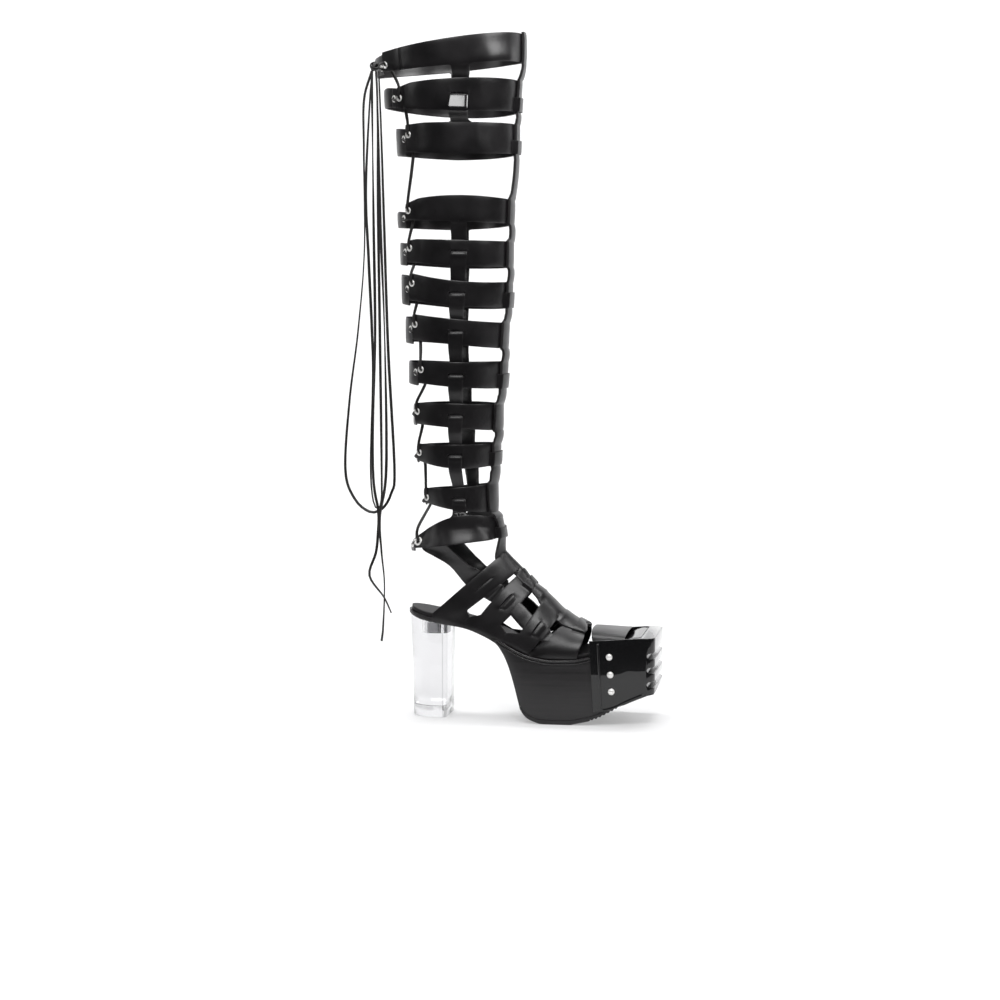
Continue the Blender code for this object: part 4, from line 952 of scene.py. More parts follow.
# %% A band as a grid
class Band:
    """One band as columns of points from its outer end, round the front, to its inner end."""

    def __init__(self, number, points, faces, fused=()):
        self.number, self.low, self.top, self.holes = number, {}, {}, {}
        outer, inner = band_ends(number)
        height = band_value(number, "eyelet_height")
        marks = []
        facing = FACING_AWAY.get(number, 12.0)
        line = [facing + shift for shift in (-0.8, -0.3, 0.0, 0.3, 0.8)]
        for away in (0.0, 0.25, 0.6, CORNER, 2.2, 4.5, *line):
            spread = degrees_for(away, number, height)
            marks += [outer - spread, inner + spread]
        for side, edge in fused:
            rim = edge_height(number, edge, STRAP_TURN)
            turns = strap_turns(side, rim)
            spread = degrees_for(FILLET, number, rim)
            marks += [*between(*turns, ACROSS), turns[0] + spread, turns[1] - spread]
        marks += self.slit_marks() + self.keeper_marks()
        columns = []
        for turn in spaced(sorted(set(marks), reverse=True), 2.5):
            here = self.column(turn, points)
            columns.append(here)
            self.low[turn], self.top[turn] = here[0][0], here[1][-1]
        for here, there in zip(columns, columns[1:]):
            for side in (0, 1):
                faces += strip(here[side], there[side])

    def slit_marks(self):
        """The columns that a slit needs, and how far each is open."""
        if band_value(self.number, "slit") is None:
            return []
        marks = []
        for side in ("outer", "inner"):
            turns = strap_turns(side, band_value(self.number, "slit"))
            spread = degrees_for(SLIT_LONGER, self.number, band_value(self.number, "slit"))
            start, stop = turns[0] + spread, turns[1] - spread
            for value in (0.0, 0.03, 0.12, 0.3, 0.5, 0.7, 0.88, 0.97, 1.0):
                turn = start + (stop - start) * value
                self.holes[turn] = SLIT_HALF * lens(value)
                marks.append(turn)
        return marks

    def keeper_marks(self):
        """The columns that the step over the spine needs."""
        keeper = band_value(self.number, "keeper")
        if keeper is None:
            return []
        marks = []
        for spare in (-2.0, 0.3, 1.1, 1.9, 2.7, KEEPER_REACH):
            half = degrees_for(spine_half(keeper) + spare, self.number, keeper)
            marks += [half, -half]
        return marks

    def raised(self, turn):
        """How far the lower side stands out at a turn, to pass over the spine."""
        keeper = band_value(self.number, "keeper")
        if keeper is None:
            return 0.0
        away = abs(math.radians(turn)) * band_size(self.number, keeper, "half") - spine_half(keeper)
        return KEEPER_LIFT * ease((KEEPER_REACH - away) / 3.3)

    def column(self, turn, points):
        """Adds one column's points and gives their numbers below and above the split line."""
        number = self.number
        low, top = edge_height(number, "low", turn), edge_height(number, "top", turn)
        split = low + (top - low) * split_part(number, turn)
        hole, raised = self.holes.get(turn, 0.0), self.raised(turn)
        parts = []
        for start, stop in ((low, split - hole), (split + hole, top)):
            tall = stop - start
            steps = (0.0, HOLD / tall, 0.28, 0.5, 0.72, 1 - HOLD / tall, 1.0)
            lower = stop < split + 0.001
            numbers = []
            for step in steps:
                height = start + tall * step
                if not lower and step == 0.0 and hole + raised < 0.01:
                    numbers.append(parts[0][-1])
                    continue
                lift = unevenness(number, turn, height) + (raised if lower else 0.0)
                near_slit = math.exp(-(((height - split) / 5.0) ** 2)) * min(1.0, hole)
                lift += near_slit * (-0.45 if lower else 0.45)
                numbers.append(len(points))
                points.append(band_point(number, turn, height, lift))
            parts.append(numbers)
        return parts


# %% Eyelets' places and holes
def eyelet_place(number, side):
    """The middle of an eyelet on the band's outer face, and the way it faces."""
    outer, inner = band_ends(number)
    height = band_value(number, "eyelet_height")
    spread = degrees_for(EYELET_INSET, number, height)
    turn = outer - spread if side == "outer" else inner + spread
    if side == "inner":
        height -= band_value(number, "sag")
    middle = band_point(number, turn, height, unevenness(number, turn, height))
    across = band_point(number, turn - 2, height) - band_point(number, turn + 2, height)
    above, below = [
        band_point(number, turn, z, unevenness(number, turn, z)) for z in (height + 3, height - 3)
    ]
    return middle, across.cross(above - below).normalized()


PUNCH = 2.3 * MM  # radius of an eyelet's hole


def punched(piece, numbers):
    """The piece with its eyelet holes cut."""
    work = bmesh.new()
    for number in numbers:
        for side in ("outer", "inner"):
            middle, normal = eyelet_place(number, side)
            turn = normal.to_track_quat("Z", "Y").to_matrix().to_4x4()
            bmesh.ops.create_cone(
                work, cap_ends=True, segments=24, radius1=PUNCH, radius2=PUNCH, depth=9 * MM,
                matrix=Matrix.Translation(middle * MM) @ turn,
            )
    mesh = bpy.data.meshes.new("punch")
    work.to_mesh(mesh)
    work.free()
    return cut(piece, (new_object("punch", mesh), "DIFFERENCE"))


# %% The bands that stand alone
for number in (2, 5, 6, 7, 8, 9, 10, 11):
    points, faces = [], []
    Band(number, points, faces)
    piece = make_sheet(f"shaft_band_{number:02d}", points, faces)
    finish_piece(punched(piece, (number,)), "leather", f"band_{number:02d}")

# %% [markdown]
# ## Bands joined by side straps
# The top and third bands, and the fourth and ankle bands, are each cut from one piece with the two side
# straps between them. On its way a strap goes behind the upper half of each band, out through the slit
# and down over the lower half. Where it grows out of a band, small fillets round both corners.

# %% A side strap's stations
TAB_LIFTS = (1.2, 2.0, 3.5, 6.1)  # the tab over the second band stands out at its low end
OTHER_LIFTS = (STRAP_LIFT, 2.2, 1.85, STRAP_LIFT)


def along_edge(number, edge, away=0.0):
    """The height of a band's edge at any turn, or of a line a little away from it."""
    return lambda turn: edge_height(number, edge, turn) + away


def level(height):
    """The same height at any turn."""
    return lambda turn: height


def strap_stations(upper, lower):
    """The strap's stations from one band's low edge to another's top: (height, lift, rows to it)."""
    stations = [(along_edge(upper, "low"), 0.0, 1), (along_edge(upper, "low", -FILLET), 0.0, 2)]
    for number in range(upper + 1, lower):
        slit = band_value(number, "slit")
        below = [level(slit - away) for away in (1.9, 4.2, 8.5)]
        stations += [(along_edge(number, "top"), -STRAP_LIFT, 6), (level(slit + 2.2), -STRAP_LIFT, 4)]
        lifts = TAB_LIFTS if number == 2 else OTHER_LIFTS
        stations += zip((*below, along_edge(number, "low")), lifts, (8, 3, 4, 4))
    return [*stations, (along_edge(lower, "top", FILLET), 0.0, 6), (along_edge(lower, "top"), 0.0, 1)]


# %% A side strap and its fillets
def off_the_leg(place):
    """The way out from the leg's axis, level with a place."""
    return Vector((place.x - LEG_AXIS, place.y, 0))


def add_side_strap(points, faces, side, upper, lower):
    """Adds a side strap whose first and last rows are points of the two bands."""
    start = edge_height(upper.number, "low", STRAP_TURN)
    stop = edge_height(lower.number, "top", STRAP_TURN)
    first_turns, last_turns = [between(*strap_turns(side, z), ACROSS) for z in (start, stop)]
    stations = strap_stations(upper.number, lower.number)
    lifts = [(start - height(STRAP_TURN), lift) for height, lift, _ in stations]
    rows = [[upper.low[turn] for turn in first_turns]]
    for (height_a, _, _), (height_b, _, steps) in zip(stations, stations[1:]):
        for step in range(1, steps + 1):
            if height_b is stations[-1][0] and step == steps:
                break
            part, row = step / steps, []
            for k, across in enumerate(ACROSS):
                guess = height_a(STRAP_TURN) + (height_b(STRAP_TURN) - height_a(STRAP_TURN)) * part
                turns = strap_turns(side, guess)
                turn = turns[0] + (turns[1] - turns[0]) * across
                height = height_a(turn) + (height_b(turn) - height_a(turn)) * part
                lift = curve_at(lifts, start - guess)
                place = leg_point(turn, height, lift)
                spread = min(5.0, 0.6 * min(start - height, height - stop))
                if spread > 0.5:
                    place = smooth_leg_point(turn, height, lift, spread)
                wave = waves(place, (0.35, 13.0, (0, 0, 0)))
                wave *= ease(min(start - height, height - stop) / 8)
                roll = -0.35 if k in (0, len(ACROSS) - 1) else 0.0
                row.append(len(points))
                points.append(place + off_the_leg(place).normalized() * (wave + roll))
            rows.append(row)
    rows.append([lower.top[turn] for turn in last_turns])
    for above, below in zip(rows, rows[1:]):
        faces += strip(above, below)
    for band, edge, shared, inner_row in (
        (upper, upper.low, first_turns, rows[1]), (lower, lower.top, last_turns, rows[-2])
    ):
        spread = degrees_for(FILLET, band.number, start if band is upper else stop)
        for turn, away, k in ((shared[0], spread, 0), (shared[-1], -spread, -1)):
            add_fillet(points, faces, edge[turn], nearest(edge, turn + away), inner_row[k])


def nearest(numbered, turn):
    """The number of the point whose turn is nearest."""
    return numbered[min(numbered, key=lambda other: abs(other - turn))]


def add_fillet(points, faces, corner, on_band, on_strap):
    """A fan that rounds the inside corner between a band's edge and a strap's edge."""
    middle, first, last = points[corner], points[on_band], points[on_strap]
    far = first + last - middle
    before = on_band
    for step in range(1, 6):
        angle = math.radians(90 * step / 6)
        place = far + (last - far) * math.sin(angle) + (first - far) * math.cos(angle)
        faces.append((corner, before, len(points)))
        before = len(points)
        points.append(place)
    faces.append((corner, before, on_strap))


# %% Both cages
def make_cage(name, upper, lower, *nodes):
    points, faces = [], []
    first = Band(upper, points, faces, (("outer", "low"), ("inner", "low")))
    last = Band(lower, points, faces, (("outer", "top"), ("inner", "top")))
    for side in ("outer", "inner"):
        add_side_strap(points, faces, side, first, last)
    piece = make_sheet(name, points, wound(points, faces, off_the_leg))
    return finish_piece(punched(piece, (upper, lower)), "leather", *nodes)


thigh_cage = make_cage("thigh_bands_and_straps", 1, 3, "thigh_cage")
# The side strap is rubbed bright where it stands out over the second band.
TAB_LOW, TAB_TOP, POLISHED = 0.6285, 0.6455, 2
thigh_cage.data.materials.append(strap_polished)
for face in thigh_cage.data.polygons:
    if face.material_index == 0 and TAB_LOW < face.center.z < TAB_TOP:
        face.material_index = POLISHED
# One more panel lights only this piece, so that the top band shines near its front.
top_light = add_panel("panel_for_the_top", (1.6, -0.15, 1.7), (0.05, -0.05, 0.69), 1.0, 0.9, 22)
top_only = bpy.data.collections.new("lit_by_the_top_panel")
top_only.objects.link(thigh_cage)
top_light.light_linking.receiver_collection = top_only
make_cage("calf_bands_and_straps", 4, 12, "calf_cage", "band_12")

# %% [markdown]
# ## The spine
# One strap runs down the front from the top edge to the toes. With some bands it is cut from one piece:
# there it lies flush and widens into the band with small fillets. On the others it lies on the upper
# half and dives under the lower half, which makes a keeper.

# %% The foot's tables and surface
FLUSH_ARCHES = (0, 2)  # the spine is cut from one piece with these, and passes the others in a keeper
SPINE_ON_FOOT = 1.25  # how far it stands out over the foot
PLATFORM_DROP = 4.8  # from the footbed down to the platform's top
STRAP_ACROSS = (-1.0, -0.93, -0.75, -0.5, -0.25, 0.0, 0.25, 0.5, 0.75, 0.93, 1.0)
ARCH_COLUMNS = ("rim_x", "rim_z", "crest_x", "crest_z", "bow", "diagonal_low", "diagonal_high", "spine")
ARCH_ROWS = (
    (0.9, 111.0, 74.8, 175.6, -0.3, 29.0, 45.0, 63.0),
    (24.2, 104.0, 92.4, 158.5, 0.5, 27.0, 45.5, 65.0),
    (43.3, 99.5, 95.3, 155.5, -4.0, 27.0, 46.5, 65.5),
    (64.4, 92.0, 106.0, 141.6, 4.0, 24.0, 40.0, 61.0),
    (88.5, 84.0, 120.1, 131.7, 0.5, 18.0, 38.0, 57.0),
    (106.0, 74.0, 137.0, 115.1, 1.5, 19.0, 38.0, 54.0),
    (104.5, 74.0, 145.6, 109.0, 1.0, 21.0, 36.0, 53.0),
    (156.2, 73.0, 159.6, 99.8, 3.5, 22.0, 36.0, 53.0),
)
DIAGONAL_ROWS = (
    (-10.0, 16.0, 188.0, 13.0, 33.4, 189.0),
    (-12.0, 15.5, 177.5, 20.0, 34.0, 181.5),
    (1.0, 25.0, 171.8, 30.0, 32.0, 172.0),
    (20.0, 28.5, 161.6, 42.0, 28.0, 161.3),
)
# Half the width on the outer and on the inner side, at places along the foot.
UPPER_PLAN_ROWS = (
    (-1, 28.0, 28.0), (24, 27.5, 25.5), (43, 28.0, 24.5), (64, 32.0, 28.5), (88, 37.5, 34.0),
    (106, 41.0, 38.0), (130, 42.0, 40.5), (156, 41.5, 41.8), (240, 41.5, 41.8),
)
PLATFORM_PLAN_ROWS = (
    (-1, 25.9, 25.9), (24, 25.4, 23.4), (43, 25.9, 22.4), (66, 30.0, 26.5), (76, 35.0, 31.0),
    (88, 39.2, 35.8), (106, 42.7, 39.8), (130, 43.8, 42.2), (150, 43.4, 43.3), (171.5, 42.9, 43.2),
    (172, 42.0, 42.0), (240, 42.0, 42.0),
)
UNDERSIDE_ROWS = (
    (-27, 108.7), (-10, 103.9), (16, 98.8), (36, 95.1), (52, 89.3), (64, 84.0), (70.5, 80.0),
    (77, 71.8), (83.2, 59.5), (89.3, 41.0), (93.4, 26.0), (97.4, 13.0), (101.4, 7.3), (107, 3.6),
    (113, 1.4), (118.5, 0.0), (148, 0.0), (156, 1.6), (174, 6.0), (190, 14.0), (206, 23.4), (232, 34.6),
)
FOOTBED_ROWS = (
    (-29, 118.3), (-15, 114.3), (0, 110.9), (24, 106.5), (43, 102.0), (66, 93.0), (80, 86.0),
    (95, 79.0), (110, 74.2), (130, 71.6), (150, 72.2), (167, 75.6), (190, 82.5), (200, 86.0),
    (208, 90.4), (216, 92.4), (232, 93.0),
)


def underside(x):
    return curve_at(UNDERSIDE_ROWS, x)


def footbed(x):
    return curve_at(FOOTBED_ROWS, x)


def platform_top(x):
    return footbed(x) - PLATFORM_DROP


print("the footbed falls from", footbed(0), "to", footbed(130), "mm")


# %% Points over the foot
def arch_value(row, wanted):
    return ARCH_ROWS[row][ARCH_COLUMNS.index(wanted)]


def arch_point(row, across, lift=0.0):
    """A point on an arch's edge. across is 0 degrees at the outer rim, 90 at the crest, 180 inside."""
    rise, side, sign = (across, 1, -1) if across <= 90 else (180 - across, 2, 1)
    rim_x, rim_z = arch_value(row, "rim_x"), arch_value(row, "rim_z")
    reach = Vector((arch_value(row, "crest_x") - rim_x, 0, arch_value(row, "crest_z") - rim_z))
    half = curve_at(UPPER_PLAN_ROWS, rim_x, side) + lift
    angle = math.radians(rise)
    point = Vector((rim_x, 0, rim_z)) + reach.normalized() * (reach.length + lift) * math.sin(angle)
    point.x += arch_value(row, "bow") * math.sin(2 * angle)
    point.y = sign * half * math.cos(angle)
    return point


def row_before(where):
    """The arch edge at or before a place, with another after it."""
    return min(len(ARCH_ROWS) - 2, max(0, math.floor(where)))


def foot_point(where, across, lift=0.0):
    """A point over the foot. where counts arch edges: 0 and 1 are the first arch's, and so on."""
    row = row_before(where)
    picks = [min(len(ARCH_ROWS) - 1, max(0, row + step)) for step in (-1, 0, 1, 2)]
    places = [arch_point(pick, across, lift) for pick in picks]
    if picks[0] == picks[1]:
        places[0] = 2 * places[1] - places[2]
    if picks[3] == picks[2]:
        places[3] = 2 * places[2] - places[1]
    smooth = spline(*places, where - row)
    straight = places[1].lerp(places[2], where - row)
    return smooth.lerp(straight, 0.35) + foot_wave(smooth)


def foot_wave(place):
    """The unevenness of the leather over the foot."""
    outward = Vector((0.2, place.y / 40, 0.6)).normalized()
    return outward * waves(place, (0.5, 30.0, (0, 0, 0)), (0.2, 10.0, (0, 0, 0)))


def foot_value(where, wanted):
    """A column of the arches' table, read off between two arch edges."""
    row = row_before(where)
    low, high = arch_value(row, wanted), arch_value(row + 1, wanted)
    return low + (high - low) * (where - row)


# %% The spine
def spine_heights():
    """Heights down the shaft with rows close together near edges, and the lift and flare at each."""
    rows = []
    for number in BANDS:
        top, low = edge_height(number, "top", 0.0), edge_height(number, "low", 0.0)
        flare = FILLET if number in FLUSH_BANDS else 0.0
        if number == 1:
            rows += [(top + 1.6, SPINE_LIFT, 0.0), (top + 0.8, SPINE_LIFT, 0.0)]
        else:
            above, _, flare_above = rows[-1]
            gap = above - top
            for step in range(1, 8):
                part = step / 8
                away, left = gap * part, gap * (1 - part)
                widths = flare_above * round_off(away / FILLET), flare * round_off(left / FILLET)
                bulge = 0.9 * math.sin(math.pi * part)
                rows.append((above - away, SPINE_LIFT + bulge, max(widths)))
        for part in (0.0, 0.04, 0.2, 0.4, 0.6, 0.8, 0.96, 1.0):
            rows.append((top + (low - top) * part, SPINE_LIFT, flare))
    return rows


def round_off(part):
    """1 at a band's edge and 0 a fillet away from it, along a quarter circle."""
    return 1 - math.sqrt(1 - (1 - part) ** 2) if part < 1 else 0.0


def make_spine():
    """The spine: rows down the shaft, a smooth bridge at the ankle, and rows on over the foot."""
    rows = []
    for height, lift, flare in spine_heights():
        half = spine_half(height) + flare
        row = []
        for across in STRAP_ACROSS:
            turn = -math.degrees(half * across / band_size(nearest_band(height), height, "half"))
            row.append(leg_point(turn, height, lift))
        rows.append(row)
    neck = len(rows)
    for step in range(72):
        where = step / 10
        number = min(3, math.floor((where + 0.5) / 2))
        inside = min(where - 2 * number, 2 * number + 1 - where)
        held = ease(inside * 4 + 1) if number in FLUSH_ARCHES else 0.0
        lift = SPINE_ON_FOOT - 1.1 * held
        start = foot_value(min(7.0, where), "spine")
        row = []
        for across in STRAP_ACROSS:
            sunk = 0.55 * ease((abs(across) - 0.6) / 0.4) * held
            row.append(foot_point(where, 90 + across * (90 - start), lift - sunk))
        rows.append(row)
    tongue = rows.pop()
    rows.append([place.lerp(tongue[5], 0.25) for place in tongue])
    ends = [rows[row] for row in (neck - 3, neck - 1, neck, neck + 2)]
    rows[neck:neck] = [
        [spline(*places, step / 10) for places in zip(*ends)] for step in range(1, 10)
    ]
    points = [place for row in rows for place in row]
    faces = grid_faces(points, len(STRAP_ACROSS))
    piece = make_sheet("front_spine_strap", points, faces, SPINE_WALL, SPINE_EDGE)
    return finish_piece(piece, "leather", "front_spine")


def nearest_band(height):
    """The band whose cone is used at a height on the front."""
    for number in BANDS:
        if height > edge_height(number, "low", 0.0) - 7:
            return number
    return 12


make_spine()

# %% [markdown]
# ## The cage over the foot
# Four arches stand on the footbed's rim. The diagonal straps come down from behind the ankle band and
# weave through them: behind the rear half of an arch, out through its slit, and level with its front
# half, until they run into the last arch. The spine runs under keepers in the second and the last arch.

# %% An arch
SLIT_SPARE = 1.2  # degrees by which a slit is longer than the diagonal that passes it


def arch_foot(where, across):
    """Where an arch's edge ends below its rim: on the platform, or beside it at the seat."""
    place = foot_point(where, across)
    on_platform = platform_top(place.x) + 0.6 - 5.0 * (1 - ease((place.x - 58) / 10))
    return Vector((place.x, place.y, max(underside(place.x) + 1.0, on_platform)))


def make_arch(number, keeper, slits):
    """Points and faces of one arch, with a keeper for the spine or slits for the diagonals if asked."""
    low, high = 2.0 * number, 2.0 * number + 1.0
    middle = (low + high) / 2
    marks = {0.0, 3.0, 6.0, 8.0, 10.0, 12.0, 90.0}
    hole_ends = []
    if slits:
        first, last = foot_value(middle, "diagonal_low"), foot_value(middle, "diagonal_high")
        spare = SLIT_SPARE
        for value in (0.0, 0.04, 0.15, 0.35, 0.65, 0.85, 0.96, 1.0):
            marks.add(first - spare + (last - first + 2 * spare) * value)
        hole_ends = (first - spare, last + spare)
    edge = foot_value(middle, "spine")
    if keeper:
        marks |= {edge - 4.8, edge - 3.6, edge - 2.4, edge - 1.2, edge, edge + 3.0}
    half_turns = spaced(sorted(marks), 3.2)
    turns = half_turns + [180 - turn for turn in reversed(half_turns[:-1])]

    def opening(across):
        rise = min(across, 180 - across)
        if hole_ends and hole_ends[0] < rise < hole_ends[1]:
            value = (rise - hole_ends[0]) / (hole_ends[1] - hole_ends[0])
            return (0.075 if number else 0.04) * lens(value)
        return 0.0

    def lift_at(where, across, front):
        rise = min(across, 180 - across)
        raised = 2.9 * ease((rise - edge + 4.6) / 4.2) if keeper and front else 0.0
        rim = max(0.0, min(where - low, high - where))
        near = math.exp(-(((where - middle) / 0.2) ** 2)) * min(1.0, opening(across) * 14)
        near *= 1.0 if number else 0.3  # the first arch's slit stays nearly flat
        tucked = (1 - ease((rise - 17) / 9)) * (1 - ease((where - low) / 0.3)) if number == 3 else 0.0
        return raised - 1.9 * tucked - 0.45 * math.exp(-rim / 0.06) + near * (-0.4 if front else 0.5)

    points, faces, columns = [], [], []
    for end, across in ((True, 0.0), *[(False, turn) for turn in turns], (True, 180.0)):
        hole = opening(across)
        joint = across - 6 if across < 90 else 2 * (180 - across)
        foot = 0.52 * (1 - ease(joint / 6))
        rear = low - foot if number else low
        ahead = high + foot if number < 3 else high
        column = []
        for front, start, stop in ((False, rear, middle - hole), (True, middle + hole, ahead)):
            numbers = []
            for step in (0.0, 0.09, 0.3, 0.5, 0.7, 0.91, 1.0):
                where = start + (stop - start) * step
                lift = lift_at(where, across, front)
                if front and step == 0.0 and hole + abs(lift - lift_at(where, across, False)) < 0.01:
                    numbers.append(column[0][-1])
                    continue
                numbers.append(len(points))
                place = arch_foot(where, across) if end else foot_point(where, across, lift)
                points.append(place)
            column.append(numbers)
        columns.append(column)
    for here, there in zip(columns, columns[1:]):
        for side in (0, 1):
            for k in range(6):
                faces.append((here[side][k], here[side][k + 1], there[side][k + 1], there[side][k]))
    return points, faces


def off_the_foot(place):
    """The way out from a line a little behind and under the footbed's middle."""
    return place - Vector((place.x - 12, 0, footbed(place.x) - 12))


# %% A diagonal strap
# Lifts of the diagonal strap along the foot, by the arch edge that it has reached.
DIAGONAL_LIFT_ROWS = (
    (0.0, -1.75), (0.42, -1.75), (0.58, -0.1), (1.0, -0.2), (1.15, -0.1), (1.85, -1.6), (2.0, -1.75),
    (2.42, -1.75), (2.52, 1.0), (2.60, 1.0), (2.68, -0.1), (3.0, -0.15), (3.2, -0.1), (3.85, -1.6),
    (4.0, -1.75), (4.40, -1.75), (4.51, 1.2), (4.72, 1.2), (4.82, -0.1), (5.0, -0.15), (5.6, 0.0),
    (6.0, -0.1), (6.2, -0.3), (6.3, -0.6),
)


def make_diagonal(side):
    """A diagonal strap, from behind the ankle band to the last arch."""
    rows = []
    sign = -1 if side == "outer" else 1
    for low_x, low_side, low_z, high_x, high_side, high_z in DIAGONAL_ROWS:
        low, high = Vector((low_x, sign * low_side, low_z)), Vector((high_x, sign * high_side, high_z))
        outward = Vector((-0.25, sign, 0.15)).normalized()
        bulges = [0.8 * 4 * across * (1 - across) for across in ACROSS]
        rows.append([low.lerp(high, across) + outward * bulge for across, bulge in zip(ACROSS, bulges)])
    for step in range(0, 64):
        where = step / 10
        lift = curve_at(DIAGONAL_LIFT_ROWS, where)
        first, last = foot_value(where, "diagonal_low"), foot_value(where, "diagonal_high")
        row = []
        for k, across in enumerate(ACROSS):
            angle = first + (last - first) * across
            sunk = 0.5 if where > 5.7 and k in (0, len(ACROSS) - 1) else 0.0
            roll = 0.3 if k in (0, len(ACROSS) - 1) else 0.0
            row.append(foot_point(where, angle if side == "outer" else 180 - angle, lift - sunk - roll))
        rows.append(row)
    full = []
    for k in range(4):
        picks = [rows[max(0, k - 1)], rows[k], rows[k + 1], rows[k + 2 if k < 3 else k + 6]]
        full += [[spline(*places, step / 5) for places in zip(*picks)] for step in range(5)]
    full += rows[4:]
    points = [place for row in full for place in row]
    faces = wound(points, grid_faces(points, len(ACROSS)), lambda place: Vector((0, sign, 0)))
    return make_sheet(f"diagonal_{side}", points, faces)


# %% The whole foot cage
def make_foot_cage():
    pieces = []
    for number in range(4):
        points, faces = make_arch(number, keeper=number not in FLUSH_ARCHES, slits=number < 3)
        pieces.append(make_sheet(f"arch_{number + 1}", points, wound(points, faces, off_the_foot)))
    pieces += [make_diagonal(side) for side in ("outer", "inner")]
    return finish_piece(joined("foot_arches_and_diagonals", pieces), "leather", "foot_cage")


make_foot_cage()

# %% [markdown]
# ## The sole
# The footbed, the platform and the outsole are lofts: a closed outline at each place along the foot,
# with its corners rounded, joined to the next. A thin glossy bead runs round the footbed's edge and
# another along the platform's top edge, where the cover is turned in.

# %% Lofts along the foot
def loft_stations(back, front, extra=()):
    """Places along the foot: close together at both ends and where the underside falls steeply."""
    stations = {back, front, *extra}
    for away in (0.15, 0.5, 1.1, 2.0, 3.2, 4.8, 6.8, 9.0, 12.0, 16.0):
        stations |= {back + away, front - away}
    place = back + 20.0
    while place < front - 18:
        stations.add(place)
        place += 1.5 if 66 < place < 100 else 4.0
    return sorted(stations)


def half_width(rows, x, side, inset, back, front, corner):
    """Half the width at x: the plan's, an oval heel behind it, and rounded corners at the front."""
    column = 1 if side < 0 else 2
    half = curve_at(rows, x, column) - inset
    if x < rows[0][0]:
        depth = rows[0][0] - back
        half *= math.sqrt(max(0.0, 1 - ((rows[0][0] - x) / depth) ** 2))
    if x > front - corner:
        away = x - (front - corner)
        half -= corner - math.sqrt(max(0.0, corner**2 - away**2))
    return max(half, 0.05)


def sole_section(outer, inner, low, top, low_round, top_round):
    """A closed outline in Y and Z with rounded edges: under the sole, up the inner side and over."""
    low_round = min(low_round, (top - low) / 2 - 0.02, outer * 0.5, inner * 0.5)
    top_round = min(top_round, (top - low) / 2 - 0.02, outer * 0.5, inner * 0.5)
    ring = []

    def corner(y, z, radius, start, sign):
        for step in range(4):
            angle = math.radians(start + 30 * step * sign)
            ring.append((y + radius * math.cos(angle), z + radius * math.sin(angle)))

    for part in (-0.6, -0.2, 0.2, 0.6):
        ring.append((part * (inner if part > 0 else outer), low))
    corner(inner - low_round, low + low_round, low_round, -90, 1)
    corner(inner - top_round, top - top_round, top_round, 0, 1)
    for part in (0.75, 0.45, 0.15, -0.15, -0.45, -0.75):
        ring.append((part * (inner if part > 0 else outer), top))
    corner(-outer + top_round, top - top_round, top_round, 90, 1)
    corner(-outer + low_round, low + low_round, low_round, 180, 1)
    return ring


SHARP = math.radians(50)  # hard bodies keep an edge that is sharper than this


def body_of_rings(name, rings, materials=(), edges=()):
    """A closed body. The faces at the ring places named by edges take the second material."""
    points = [point for ring in rings for point in ring]
    wide = len(rings[0])
    faces = [tuple(reversed(range(wide)))]
    for row in range(0, len(points) - wide, wide):
        for k in range(wide):
            first, after = row + k, row + (k + 1) % wide
            faces.append((first, after, after + wide, first + wide))
    faces.append(tuple(range(len(points) - wide, len(points))))
    piece = new_piece(name, points, faces, materials, closed=True)
    for number, face in enumerate(piece.data.polygons[1:-1]):
        face.material_index = int(number % wide in edges)
    piece.data.set_sharp_from_angle(angle=SHARP)
    return piece


def make_loft(name, stations, ring_at, material):
    """A closed body through a ring of (y, z) at each x."""
    return body_of_rings(name, [[(x, y, z) for y, z in ring_at(x)] for x in stations], (material,))


# %% The footbed, the platform and the outsole
SEAT_BACK, PLATFORM_FRONT, TOE_CORNER = -28.5, 222.0, 9.0
PLATFORM_CORNER = 6.0
OUTSOLE_BACK, OUTSOLE_FRONT = 97.0, 206.0
FOOTBED_INSET, FOOTBED_THICK = 2.8, 4.5
OUTSOLE_THICK, OUTSOLE_GAP = 5.0, 0.3
LUGS_FROM, LUGS_TO, LUG_PITCH, LUG_DEEP = 170, 205, 4.2, 1.7


def insole_ring(x):
    back, front = SEAT_BACK + FOOTBED_INSET, PLATFORM_FRONT - 0.3
    outer, inner = (
        half_width(UPPER_PLAN_ROWS, x, side, FOOTBED_INSET, back, front, PLATFORM_CORNER)
        for side in (-1, 1)
    )
    return sole_section(outer, inner, footbed(x) - FOOTBED_THICK, footbed(x), 0.5, 1.5)


def platform_half(x, side, corner=PLATFORM_CORNER):
    return half_width(PLATFORM_PLAN_ROWS, x, side, 0.0, SEAT_BACK, PLATFORM_FRONT, corner)


def platform_ring(x):
    over_outsole = OUTSOLE_BACK < x < OUTSOLE_FRONT
    low = underside(x) + (OUTSOLE_THICK + OUTSOLE_GAP if over_outsole else 0.0)
    round_low = 0.2 if OUTSOLE_BACK - 2 < x < OUTSOLE_FRONT + 2 else 1.2
    return sole_section(platform_half(x, -1), platform_half(x, 1), low, platform_top(x), round_low, 0.7)


def outsole_ring(x):
    low = underside(x)
    if LUGS_FROM <= x <= LUGS_TO:
        low += LUG_DEEP * abs(2 * ((x - LUGS_FROM) / LUG_PITCH % 1) - 1)
    halves = platform_half(x, -1, TOE_CORNER), platform_half(x, 1, TOE_CORNER)
    return sole_section(*halves, low, underside(x) + OUTSOLE_THICK, 2.4, 0.2)


